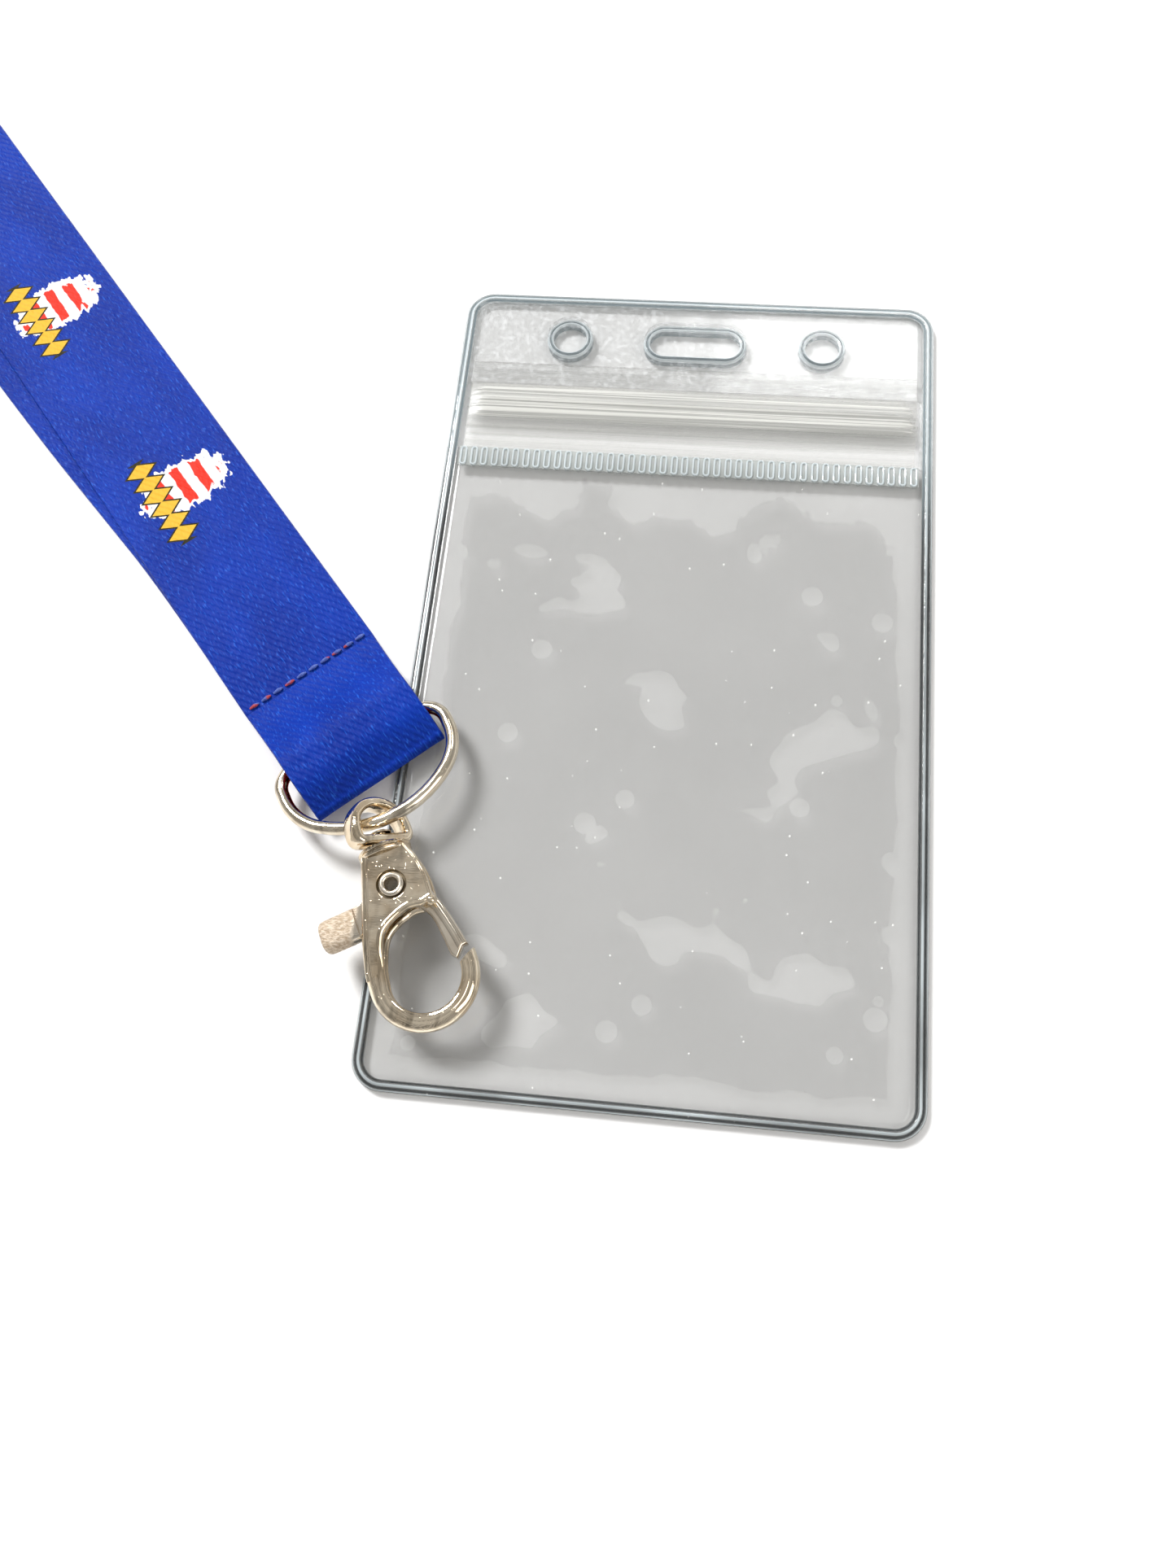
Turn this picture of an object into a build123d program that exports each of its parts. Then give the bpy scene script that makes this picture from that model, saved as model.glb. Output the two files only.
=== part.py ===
from build123d import *
from math import cos, pi, radians, sin, tan

# Lanyard badge holder: a clear zip pouch lying flat, with a snap hook, a D-ring and a flat ribbon lanyard
# beside and above it. Millimetres. The origin is the centre of the pouch's back face, on the surface that
# everything lies on. +X is right across the pouch, +Y runs towards its punched header, +Z is up.

# ---------------------------------------------------------------- driving dimensions: the pouch
POUCH_W = 68.0
POUCH_H = 116.2
CORNER_R = 4.0
FILM_T = 0.35
RIM_W = 2.0
WALL_T = 0.4
POCKET_GAP = 0.3
POUCH_TOP = POUCH_H / 2
POUCH_BOTTOM = -POUCH_H / 2

HOLE_SPACING = 36.4
HOLE_R = 2.4
HOLE_Y = 50.3
HOLE_RING_R = 3.35
SLOT_W = 13.0
SLOT_H = 4.3
SLOT_Y = 50.15
SLOT_RING_L = 16.1
SLOT_RING_H = 6.1
RING_TOP_Z = 1.25
RING_EDGE_R = 0.3
RING_CLEAR = 0.05

WINDOW_TOP = 31.2
BAND_H = 3.15
BAND_W = 64.0
BAND_T = 0.2
RIB_COUNT = 43
RIB_PITCH = 1.49
RIB_W = 0.85
RIB_T = 0.3
RIB_MARGIN = 0.1

BEAD_INSET = 0.6
BEAD_W = 0.9
BEAD_T = 0.35
BEAD_EDGE_R = 0.3

HEADER_BOTTOM = 42.2
FLANGE_BOTTOM = 35.0
FLANGE_TOP = 46.0
FLANGE_W = 63.6
ZIP_Y = 38.25
ZIP_W = 63.0
GROOVE_W = 0.9
GROOVE_WALL = 0.5
GROOVE_H = 0.6
LIP_BOTTOM = 31.3
LIP_TOP = 41.7
LIP_LOW_Z = 0.7
LIP_HIGH_Z = 1.4
LIP_STEP_FROM = -3.6
LIP_STEP_TO = -2.0
LIP_CREST_TO = 2.0
ZIP_RIB_W = 0.6
ZIP_RIB_H = 0.5
GUIDE_R = 0.22
GUIDE_OFFSETS = (-1.5, -0.75, 0.75, 1.5)

# ---------------------------------------------------------------- driving dimensions: the ribbon
RIBBON_W = 20.0
RIBBON_T = 0.7
LAYER_GAP = 0.05
FOLD_X = -35.1
FOLD_Y = -19.6
STRAP_ANGLE = 131.2
STITCH_AT = 18.9
FLAT_END = 138.0
TWIST_END = 166.0
TWIST_STEPS = 6
LEG_SPREAD = 0.25
CORNER_SHARE = 0.45

LOOP_W = 19.2
FOLD_R = 0.95
LOOP_LIFT = 1.2
LIFT_AT = 10.0
LOOP_CREST = ((3.8, 4.75), (6.6, 5.1), (9.4, 4.95), (14.2, 2.6))
STITCH_COUNT = 10
STITCH_PITCH = 1.85
STITCH_L = 1.35
STITCH_D = 0.5
STITCH_OFFSET = 0.7

# ---------------------------------------------------------------- driving dimensions: the D-ring
RING_WIRE_R = 0.85
RING_X = -39.2
RING_Y = -14.5
RING_Z = 2.9
RING_ANGLE = 31.7
RING_TILT = 10.4
RING_GAP = 0.2
RING_HALF_W = 11.4
RING_CORNER_R = 3.0
RING_SIDE_R = 7.5
RING_SIDE_START = 4.0
RING_SIDE_TURN = 50.0

# ---------------------------------------------------------------- driving dimensions: the snap hook
CLASP_X = -32.75
CLASP_Y = -29.55
CLASP_Z = 5.3
CLASP_ANGLE = 25.5
HOOK_T = 2.3
HOOK_EDGE_R = 0.5
HOOK_LONG_EDGE = 10.0
BOSS_T = 4.6
BOSS_END = 11.6
SLOT_T = 2.24
SLOT_FROM = 2.4
SLOT_TO = 10.1
COLLAR_R = 3.3
COLLAR_L = 1.2
STEM_R = 0.85
STEM_CLEAR = 0.05
HEAD_R = 1.45
HEAD_FROM = 1.8
HEAD_TO = 2.15
RIVET_X = -0.18
RIVET_Y = -5.25
RIVET_R = 1.1
RIVET_HEAD_R = 1.5
RIVET_HEAD_T = 0.4
RIVET_BORE_R = 0.8
RIVET_SEAT_R = 1.8
RIVET_SEAT_D = 0.15
PIVOT_CLEAR = 0.06

LEVER_T = 1.9
LEVER_HUB_R = 2.6
THUMB_T = 3.4
SPRING_R = 1.7
SPRING_WIRE_R = 0.15
SPRING_PITCH = 0.33
SPRING_TURNS = 2
SPRING_WELL_R = 2.2
SPRING_BASE = 0.2

EYE_HALF_W = 4.4
EYE_HOLE_R = 3.0
EYE_ARCH_Y = 2.4
EYE_BASE_FROM = 0.35
EYE_BASE_TO = 1.75
EYE_T = 2.7
EYE_ROLL = 45.0
EYE_EDGE_R = 0.35


# ---------------------------------------------------------------- planes and places
strap_dir = Vector(cos(radians(STRAP_ANGLE)), sin(radians(STRAP_ANGLE)), 0)
width_dir = Vector(sin(radians(STRAP_ANGLE)), -cos(radians(STRAP_ANGLE)), 0)
strap_side = Plane(origin=(FOLD_X, FOLD_Y, 0), x_dir=strap_dir, z_dir=width_dir)

bar_dir = Vector(cos(radians(RING_ANGLE)), sin(radians(RING_ANGLE)), 0)
crown_flat = Vector(sin(radians(RING_ANGLE)), -cos(radians(RING_ANGLE)), 0)
crown_dir = crown_flat * cos(radians(RING_TILT)) + Vector(0, 0, sin(radians(RING_TILT)))
ring_plane = Plane(origin=(RING_X, RING_Y, RING_Z), x_dir=bar_dir, z_dir=bar_dir.cross(crown_dir))

clasp_across = Vector(cos(radians(CLASP_ANGLE)), sin(radians(CLASP_ANGLE)), 0)
clasp_up = Vector(-sin(radians(CLASP_ANGLE)), cos(radians(CLASP_ANGLE)), 0)
clasp_origin = Vector(CLASP_X, CLASP_Y, CLASP_Z)
clasp_plane = Plane(origin=clasp_origin, x_dir=clasp_across, z_dir=(0, 0, 1))
clasp_axis = Plane(origin=clasp_origin, x_dir=clasp_across, z_dir=clasp_up)
eye_across = clasp_across * -cos(radians(EYE_ROLL)) + Vector(0, 0, sin(radians(EYE_ROLL)))
eye_plane = Plane(origin=clasp_origin, x_dir=eye_across, z_dir=eye_across.cross(clasp_up))


def on_strap(along, across=0.0, height=0.0):
    """The point this far along the lanyard from its fold, to the right of its centre line and up."""
    place = Vector(FOLD_X, FOLD_Y, height) + strap_dir * along + width_dir * across
    return place


def finish(piece, name):
    """Names a finished piece and writes it."""
    piece.part.label = name
    export_step(piece.part, f"parts/{name}.step")


def pouch_outline(inset):
    """The pouch's rounded outline, set in from its edge."""
    with BuildSketch(mode=Mode.PRIVATE) as outline:
        RectangleRounded(POUCH_W - 2 * inset, POUCH_H - 2 * inset, CORNER_R - inset)
    return outline.sketch


def pouch_zone(inset, bottom, top):
    """The part of the inset pouch outline between two heights on the pouch."""
    with BuildSketch(mode=Mode.PRIVATE) as zone:
        add(pouch_outline(inset))
        with Locations((0, (bottom + top) / 2)):
            Rectangle(POUCH_W, top - bottom, mode=Mode.INTERSECT)
    return zone.sketch


def header_holes(radius):
    """The two round punched holes of the header."""
    with BuildSketch(mode=Mode.PRIVATE) as holes:
        with Locations((0, HOLE_Y)):
            with GridLocations(HOLE_SPACING, 0, 2, 1):
                Circle(radius)
    return holes.sketch


def header_slot(length, height):
    """A long rounded shape centred on the header's punched slot."""
    with BuildSketch(mode=Mode.PRIVATE) as slot:
        with Locations((0, SLOT_Y)):
            SlotOverall(length, height)
    return slot.sketch


# ---------------------------------------------------------------- pouch films
with BuildPart() as back_panel:
    with BuildSketch():
        add(pouch_outline(0))
        add(header_holes(HOLE_RING_R), mode=Mode.SUBTRACT)
        add(header_slot(SLOT_RING_L, SLOT_RING_H), mode=Mode.SUBTRACT)
    extrude(amount=FILM_T)
finish(back_panel, "back_panel")

window_wall = FILM_T + POCKET_GAP
with BuildPart() as front_window:
    with BuildSketch(Plane.XY.offset(FILM_T)):
        add(pouch_zone(0, POUCH_BOTTOM, WINDOW_TOP))
    extrude(amount=FILM_T)
    with BuildSketch(Plane.XY.offset(FILM_T)):
        add(pouch_zone(RIM_W - WALL_T, POUCH_BOTTOM, WINDOW_TOP))
    extrude(amount=window_wall)
    with BuildSketch(Plane.XY.offset(FILM_T)):
        add(pouch_zone(RIM_W, POUCH_BOTTOM, WINDOW_TOP))
    extrude(amount=POCKET_GAP, mode=Mode.SUBTRACT)
finish(front_window, "front_window")

# The header film lies over the zip's flange. Its two side strips carry the edge weld on past the zip's ends.
with BuildPart() as header_film:
    with BuildSketch(Plane.XY.offset(FILM_T)):
        add(pouch_zone(0, WINDOW_TOP, POUCH_TOP))
        add(pouch_zone(RIM_W, WINDOW_TOP, POUCH_TOP), mode=Mode.SUBTRACT)
    extrude(amount=FILM_T)
    with BuildSketch(Plane.XY.offset(FILM_T)):
        add(pouch_zone(RIM_W - WALL_T, HEADER_BOTTOM, POUCH_TOP))
        add(pouch_zone(RIM_W, HEADER_BOTTOM, POUCH_TOP), mode=Mode.SUBTRACT)
    extrude(amount=2 * FILM_T)
    with BuildSketch(Plane.XY.offset(2 * FILM_T)):
        add(pouch_zone(RIM_W - WALL_T, HEADER_BOTTOM, POUCH_TOP))
    extrude(amount=FILM_T)
    with BuildSketch(Plane.XY.offset(FILM_T)):
        add(header_holes(HOLE_RING_R + RING_CLEAR))
        add(header_slot(SLOT_RING_L + 2 * RING_CLEAR, SLOT_RING_H + 2 * RING_CLEAR))
    extrude(amount=2 * FILM_T, mode=Mode.SUBTRACT)
finish(header_film, "header_film")

with BuildPart() as edge_bead:
    with BuildSketch(Plane.XY.offset(2 * FILM_T)):
        add(pouch_outline(BEAD_INSET))
        add(pouch_outline(BEAD_INSET + BEAD_W), mode=Mode.SUBTRACT)
    extrude(amount=BEAD_T)
    fillet(edge_bead.edges().group_by(Axis.Z)[-1], BEAD_EDGE_R)
finish(edge_bead, "edge_bead")

# Round each punched hole the films are welded into one ring, right through from the back face.
with BuildPart() as slot_weld_ring:
    with BuildSketch():
        add(header_slot(SLOT_RING_L, SLOT_RING_H))
        add(header_slot(SLOT_W, SLOT_H), mode=Mode.SUBTRACT)
    extrude(amount=RING_TOP_Z)
    fillet(slot_weld_ring.edges().group_by(Axis.Z)[-1], RING_EDGE_R)
finish(slot_weld_ring, "slot_weld_ring")

for side, name in ((-1, "hole_ring_left"), (1, "hole_ring_right")):
    with BuildPart() as hole_ring:
        with BuildSketch():
            with Locations((side * HOLE_SPACING / 2, HOLE_Y)):
                Circle(HOLE_RING_R)
                Circle(HOLE_R, mode=Mode.SUBTRACT)
        extrude(amount=RING_TOP_Z)
        fillet(hole_ring.edges().group_by(Axis.Z)[-1], RING_EDGE_R)
    finish(hole_ring, name)

# The ribbed band is the heat seal that joins the zip's moving strip to the window film.
band_z = FILM_T + window_wall
with BuildPart() as ribbed_weld_band:
    with BuildSketch(Plane.XY.offset(band_z)):
        with Locations((0, WINDOW_TOP - BAND_H / 2)):
            Rectangle(BAND_W, BAND_H)
    extrude(amount=BAND_T)
    with BuildSketch(Plane.XY.offset(band_z + BAND_T)):
        with Locations((0, WINDOW_TOP - BAND_H / 2)):
            with GridLocations(RIB_PITCH, 0, RIB_COUNT, 1):
                SlotOverall(BAND_H - 2 * RIB_MARGIN, RIB_W, rotation=90)
    extrude(amount=RIB_T)
finish(ribbed_weld_band, "ribbed_weld_band")

# ---------------------------------------------------------------- press-to-close zip
zip_side = Plane(origin=(0, 0, 0), x_dir=(0, 1, 0), z_dir=(1, 0, 0))
groove_z = 2 * FILM_T
with BuildPart() as zip_groove_strip:
    with BuildSketch(zip_side):
        with Locations(((FLANGE_BOTTOM + FLANGE_TOP) / 2, FILM_T * 1.5)):
            Rectangle(FLANGE_TOP - FLANGE_BOTTOM, FILM_T)
        with Locations((ZIP_Y, groove_z + GROOVE_H / 2)):
            Rectangle(GROOVE_W + 2 * GROOVE_WALL, GROOVE_H)
            Rectangle(GROOVE_W, GROOVE_H, mode=Mode.SUBTRACT)
    extrude(amount=FLANGE_W / 2, both=True)
finish(zip_groove_strip, "zip_groove_strip")

# The moving strip steps up over the groove and carries the rib on its underside.
step_low = ZIP_Y + LIP_STEP_FROM
step_high = ZIP_Y + LIP_STEP_TO
crest_end = ZIP_Y + LIP_CREST_TO
with BuildPart() as zip_rib_strip:
    with BuildSketch(zip_side):
        with BuildLine():
            Polyline(
                (LIP_BOTTOM, LIP_LOW_Z),
                (step_low, LIP_LOW_Z),
                (step_high, LIP_HIGH_Z),
                (crest_end, LIP_HIGH_Z),
                (LIP_TOP, LIP_HIGH_Z - FILM_T / 2),
                (LIP_TOP, LIP_HIGH_Z + FILM_T / 2),
                (crest_end, LIP_HIGH_Z + FILM_T),
                (step_high, LIP_HIGH_Z + FILM_T),
                (step_low, LIP_LOW_Z + FILM_T),
                (LIP_BOTTOM, LIP_LOW_Z + FILM_T),
                close=True,
            )
        make_face()
        with Locations((ZIP_Y, LIP_HIGH_Z - ZIP_RIB_H / 2)):
            Rectangle(ZIP_RIB_W, ZIP_RIB_H)
        for offset_y in GUIDE_OFFSETS:
            with Locations((ZIP_Y + offset_y, LIP_HIGH_Z + FILM_T)):
                Circle(GUIDE_R)
    extrude(amount=ZIP_W / 2, both=True)
finish(zip_rib_strip, "zip_rib_strip")

# ---------------------------------------------------------------- ribbon: flat double leg
upper_z = RIBBON_T + LAYER_GAP


def flat_leg(name, bottom):
    """One leg of the lanyard where both lie flat, the upper on the lower."""
    with BuildPart() as leg:
        with BuildSketch(strap_side):
            with Locations(((STITCH_AT + FLAT_END) / 2, bottom + RIBBON_T / 2)):
                Rectangle(FLAT_END - STITCH_AT, RIBBON_T)
        extrude(amount=RIBBON_W / 2, both=True)
    finish(leg, name)
    return leg.part.volume


def twist_leg(name, first_gap, last_gap):
    """The stretch where a leg rolls up from flat to standing on its edge."""
    with BuildPart() as leg:
        for step in range(TWIST_STEPS + 1):
            share = step / TWIST_STEPS
            roll = pi / 2 * share
            gap = first_gap + (last_gap - first_gap) * share
            height = (RIBBON_W / 2) * sin(roll) + (RIBBON_T / 2 + gap) * cos(roll)
            centre = on_strap(FLAT_END + (TWIST_END - FLAT_END) * share, gap * sin(roll), height)
            edge_dir = width_dir * cos(roll) - Vector(0, 0, 1) * sin(roll)
            with BuildSketch(Plane(origin=centre, x_dir=edge_dir, z_dir=strap_dir)):
                Rectangle(RIBBON_W, RIBBON_T)
        loft(ruled=True)
    finish(leg, name)
    return leg.part.volume


def corner_radii(route):
    """The arc radius at each inner point of a route: a share of the shorter run over tan of half the turn."""
    points = [Vector(*place) for place in route]
    radii = []
    for before, here, after in zip(points, points[1:], points[2:]):
        run_in = here - before
        run_out = after - here
        half_turn = radians(run_in.get_angle(run_out)) / 2
        radii.append(CORNER_SHARE * min(run_in.length, run_out.length) / tan(half_turn))
    return radii


def neck_leg(name, route):
    """A leg's part of the round neck loop, standing on its edge."""
    radii = corner_radii(route)
    with BuildPart() as leg:
        with BuildLine(Plane.XY.offset(RIBBON_W / 2)) as path:
            FilletPolyline(*route, radius=radii)
        with BuildSketch(Plane(origin=path.wire() @ 0, x_dir=(0, 0, 1), z_dir=path.wire() % 0)):
            Rectangle(RIBBON_W, RIBBON_T)
        sweep(path=path.wire())
    finish(leg, name)
    print(name, "radii", [round(radius, 1) for radius in radii])
    return path.wire().length, leg.part.volume


end_gap = upper_z + LEG_SPREAD
upper_start = on_strap(TWIST_END, end_gap)
lower_start = on_strap(TWIST_END)
UPPER_ROUTE = [
    (upper_start.X, upper_start.Y),
    (-157, 121),
    (-180, 134),
    (-206, 134),
    (-263, 131),
    (-306, 106),
    (-329, 70),
    (-329, 44),
]
LOWER_ROUTE = [
    (lower_start.X, lower_start.Y),
    (-156, 118),
    (-182, 132),
    (-216, 127),
    (-238, 101),
    (-237.5, 67),
    (-237.5, 15),
    (-238, -15),
    (-255.5, -39),
    (-283.5, -48),
    (-311.5, -39),
    (-329, -15),
    (-329.5, 15),
    (-329, 44),
]

section = RIBBON_W * RIBBON_T
straight = TWIST_END - STITCH_AT
for leg_name, bottom_z, gaps, route in (
    ("strap_upper", upper_z, (upper_z, end_gap), UPPER_ROUTE),
    ("strap_lower", 0.0, (0.0, 0.0), LOWER_ROUTE),
):
    flat_volume = flat_leg(leg_name + "_flat", bottom_z)
    twist_volume = twist_leg(leg_name + "_twist", *gaps)
    neck_length, neck_volume = neck_leg(leg_name + "_neck", route)
    print(leg_name, "length", round(straight + neck_length, 1))
    print(leg_name, "flat volume over section x length", flat_volume / section / (FLAT_END - STITCH_AT))
    print(leg_name, "twist volume over section x length", twist_volume / section / (TWIST_END - FLAT_END))
    print(leg_name, "neck volume over section x length", neck_volume / section / neck_length)

# ---------------------------------------------------------------- ribbon: end loop and stitches
# The loop rests on the pouch's left edge, so it stands a little off the surface at its fold, and its upper
# layer rises in a crest over the ring's bar.
fold_mid = LOOP_LIFT + FOLD_R
fold_top = LOOP_LIFT + 2 * FOLD_R
crest_inside = [(along, height - RIBBON_T) for along, height in reversed(LOOP_CREST)]
with BuildPart() as end_loop:
    with BuildSketch(strap_side):
        with BuildLine():
            Spline((STITCH_AT, 0), (LIFT_AT, LOOP_LIFT), tangents=((-1, 0), (-1, 0)))
            Line((LIFT_AT, LOOP_LIFT), (FOLD_R, LOOP_LIFT))
            ThreePointArc((FOLD_R, LOOP_LIFT), (0, fold_mid), (FOLD_R, fold_top))
            Spline(
                (FOLD_R, fold_top),
                *LOOP_CREST,
                (STITCH_AT, upper_z + RIBBON_T),
                tangents=((1, 0.5), (1, 0)),
            )
            Line((STITCH_AT, upper_z + RIBBON_T), (STITCH_AT, upper_z))
            Spline(
                (STITCH_AT, upper_z),
                *crest_inside,
                (FOLD_R, fold_top - RIBBON_T),
                tangents=((-1, 0), (-1, -0.5)),
            )
            ThreePointArc((FOLD_R, fold_top - RIBBON_T), (RIBBON_T, fold_mid), (FOLD_R, LOOP_LIFT + RIBBON_T))
            Line((FOLD_R, LOOP_LIFT + RIBBON_T), (LIFT_AT, LOOP_LIFT + RIBBON_T))
            Spline((LIFT_AT, LOOP_LIFT + RIBBON_T), (STITCH_AT, RIBBON_T), tangents=((1, 0), (1, 0)))
            Line((STITCH_AT, RIBBON_T), (STITCH_AT, 0))
        make_face()
    extrude(amount=LOOP_W / 2, both=True)
finish(end_loop, "end_loop")

stitch_plane = Plane(origin=on_strap(STITCH_AT + STITCH_OFFSET, 0, upper_z + RIBBON_T), x_dir=width_dir)
with BuildPart() as stitch_row:
    with BuildSketch(stitch_plane):
        with GridLocations(STITCH_PITCH, 0, STITCH_COUNT, 1):
            SlotOverall(STITCH_L, STITCH_D)
    extrude(amount=STITCH_D / 2)
finish(stitch_row, "stitch_row")

# ---------------------------------------------------------------- D-ring
corner_x = RING_HALF_W - RING_CORNER_R
side_x = RING_HALF_W - RING_SIDE_R
side_angle = radians(RING_SIDE_TURN)
join_x = side_x + RING_SIDE_R * cos(side_angle)
join_y = RING_SIDE_START + RING_SIDE_R * sin(side_angle)
crown_r = join_x / cos(side_angle)
crown_y = join_y - crown_r * sin(side_angle)
with BuildPart() as d_ring:
    with BuildLine(ring_plane) as ring_path:
        Line((RING_GAP / 2, 0), (corner_x, 0))
        CenterArc((corner_x, RING_CORNER_R), RING_CORNER_R, -90, 90)
        Line((RING_HALF_W, RING_CORNER_R), (RING_HALF_W, RING_SIDE_START))
        CenterArc((side_x, RING_SIDE_START), RING_SIDE_R, 0, RING_SIDE_TURN)
        CenterArc((0, crown_y), crown_r, RING_SIDE_TURN, 180 - 2 * RING_SIDE_TURN)
        CenterArc((-side_x, RING_SIDE_START), RING_SIDE_R, 180 - RING_SIDE_TURN, RING_SIDE_TURN)
        Line((-RING_HALF_W, RING_SIDE_START), (-RING_HALF_W, RING_CORNER_R))
        CenterArc((-corner_x, RING_CORNER_R), RING_CORNER_R, 180, 90)
        Line((-corner_x, 0), (-RING_GAP / 2, 0))
    with BuildSketch(Plane(origin=ring_path.wire() @ 0, z_dir=ring_path.wire() % 0)):
        Circle(RING_WIRE_R)
    sweep(path=ring_path.wire())
finish(d_ring, "d_ring")

# ---------------------------------------------------------------- swivel eye
with BuildPart() as swivel_eye:
    with BuildSketch(eye_plane):
        with Locations((0, (EYE_BASE_FROM + EYE_ARCH_Y) / 2)):
            Rectangle(2 * EYE_HALF_W, EYE_ARCH_Y - EYE_BASE_FROM)
        with Locations((0, EYE_ARCH_Y)):
            Circle(EYE_HALF_W)
            Circle(EYE_HOLE_R, mode=Mode.SUBTRACT)
        with Locations((0, (EYE_BASE_FROM - EYE_HALF_W) / 2)):
            Rectangle(2 * EYE_HALF_W, EYE_BASE_FROM + EYE_HALF_W, mode=Mode.SUBTRACT)
        with Locations((0, (EYE_BASE_FROM + EYE_BASE_TO) / 2)):
            Rectangle(2 * EYE_HALF_W, EYE_BASE_TO - EYE_BASE_FROM)
    extrude(amount=EYE_T / 2, both=True)
    eye_faces = swivel_eye.edges().group_by(Axis(clasp_origin, eye_plane.z_dir))
    fillet(eye_faces[0] + eye_faces[-1], EYE_EDGE_R)
    with BuildSketch(clasp_axis):
        Circle(STEM_R + STEM_CLEAR)
    extrude(amount=EYE_BASE_TO + EYE_EDGE_R, mode=Mode.SUBTRACT)
finish(swivel_eye, "swivel_eye")

# ---------------------------------------------------------------- clasp body: collar, cheeks and hook
with BuildSketch(clasp_plane, mode=Mode.PRIVATE) as hook_outline:
    with BuildLine():
        Line((2.83, -0.8), (-2.83, -0.8))
        Spline(
            (-2.83, -0.8),
            (-4.14, -5.6),
            (-5.66, -10.8),
            (-6.49, -14.2),
            (-6.65, -16.7),
            tangents=((-1, -4), (0, -1)),
        )
        ThreePointArc((-6.65, -16.7), (0, -23.35), (6.65, -16.7))
        Line((6.65, -16.7), (6.65, -15.9))
        ThreePointArc((6.65, -15.9), (6.47, -15.48), (6.05, -15.3))
        Line((6.05, -15.3), (5.75, -15.3))
        Line((5.75, -15.3), (4.52, -16.8))
        ThreePointArc((4.52, -16.8), (0.1, -21.25), (-4.3, -16.7))
        Spline(
            (-4.3, -16.7),
            (-3.85, -13.8),
            (-2.5, -10.5),
            (0.6, -8.9),
            (2.9, -9.5),
            tangents=((0, 1), (1, -0.8)),
        )
        Line((2.9, -9.5), (4.1, -8.3))
        Spline((4.1, -8.3), (4.09, -5.4), (3.69, -3.1), (2.83, -0.8))
    make_face()

with BuildPart() as clasp_body:
    add(hook_outline.sketch)
    extrude(amount=HOOK_T / 2, both=True)
    hook_edges = clasp_body.edges().group_by(Axis.Z)
    long_edges = (hook_edges[0] + hook_edges[-1]).filter_by(lambda edge: edge.length > HOOK_LONG_EDGE)
    fillet(long_edges, HOOK_EDGE_R)
    with BuildSketch(clasp_plane):
        add(hook_outline.sketch_local)
        with Locations((0, -BOSS_END / 2)):
            Rectangle(4 * EYE_HALF_W, BOSS_END, mode=Mode.INTERSECT)
    extrude(amount=BOSS_T / 2, both=True)
    with BuildSketch(clasp_plane):
        with Locations((0, -(SLOT_FROM + SLOT_TO) / 2)):
            Rectangle(4 * EYE_HALF_W, SLOT_TO - SLOT_FROM)
    extrude(amount=SLOT_T / 2, both=True, mode=Mode.SUBTRACT)
    with BuildSketch(clasp_axis.offset(-COLLAR_L)):
        Circle(COLLAR_R)
    extrude(amount=COLLAR_L)
    with BuildSketch(clasp_axis):
        Circle(STEM_R)
    extrude(amount=HEAD_TO)
    with BuildSketch(clasp_axis.offset(HEAD_FROM)):
        Circle(HEAD_R)
    extrude(amount=HEAD_TO - HEAD_FROM)
    with BuildSketch(clasp_plane):
        with Locations((RIVET_X, RIVET_Y)):
            Circle(RIVET_R)
    extrude(amount=BOSS_T, both=True, mode=Mode.SUBTRACT)
    for face_side in (-1, 1):
        with BuildSketch(clasp_plane.offset(face_side * (BOSS_T / 2 - RIVET_SEAT_D))):
            with Locations((RIVET_X, RIVET_Y)):
                Circle(RIVET_SEAT_R)
        extrude(amount=face_side * RIVET_SEAT_D, mode=Mode.SUBTRACT)
finish(clasp_body, "clasp_body")

# ---------------------------------------------------------------- lever, its rivet and its spring
with BuildPart() as lever:
    with BuildSketch(clasp_plane):
        with BuildLine():
            Line((1.5, -3.3), (3.35, -6.0))
            Spline((3.35, -6.0), (4.75, -9.2), (6.15, -14.9))
            Line((6.15, -14.9), (5.45, -14.95))
            Line((5.45, -14.95), (4.4, -16.25))
            Line((4.4, -16.25), (3.8, -15.5))
            Spline((3.8, -15.5), (2.95, -10.2), (0.6, -7.5))
            Line((0.6, -7.5), (1.5, -3.3))
        make_face()
        with BuildLine():
            Polyline((-1.5, -3.5), (-4.9, -5.9), (-6.2, -6.2), (-6.2, -9.8), (-5.0, -9.7), (-1.5, -7.4), close=True)
        make_face()
        with Locations((RIVET_X, RIVET_Y)):
            Circle(LEVER_HUB_R)
    extrude(amount=LEVER_T / 2, both=True)
    with BuildSketch(clasp_plane):
        with BuildLine():
            Line((-6.1, -6.1), (-9.0, -6.6))
            ThreePointArc((-9.0, -6.6), (-10.3, -8.2), (-9.2, -10.1))
            Line((-9.2, -10.1), (-6.1, -9.9))
            Line((-6.1, -9.9), (-6.1, -6.1))
        make_face()
    extrude(amount=THUMB_T / 2, both=True)
    with BuildSketch(clasp_plane):
        with Locations((RIVET_X, RIVET_Y)):
            Circle(RIVET_R + PIVOT_CLEAR)
    extrude(amount=LEVER_T, both=True, mode=Mode.SUBTRACT)
    with BuildSketch(clasp_plane):
        with Locations((RIVET_X, RIVET_Y)):
            Circle(SPRING_WELL_R)
    extrude(amount=LEVER_T, mode=Mode.SUBTRACT)
finish(lever, "lever")

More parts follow.
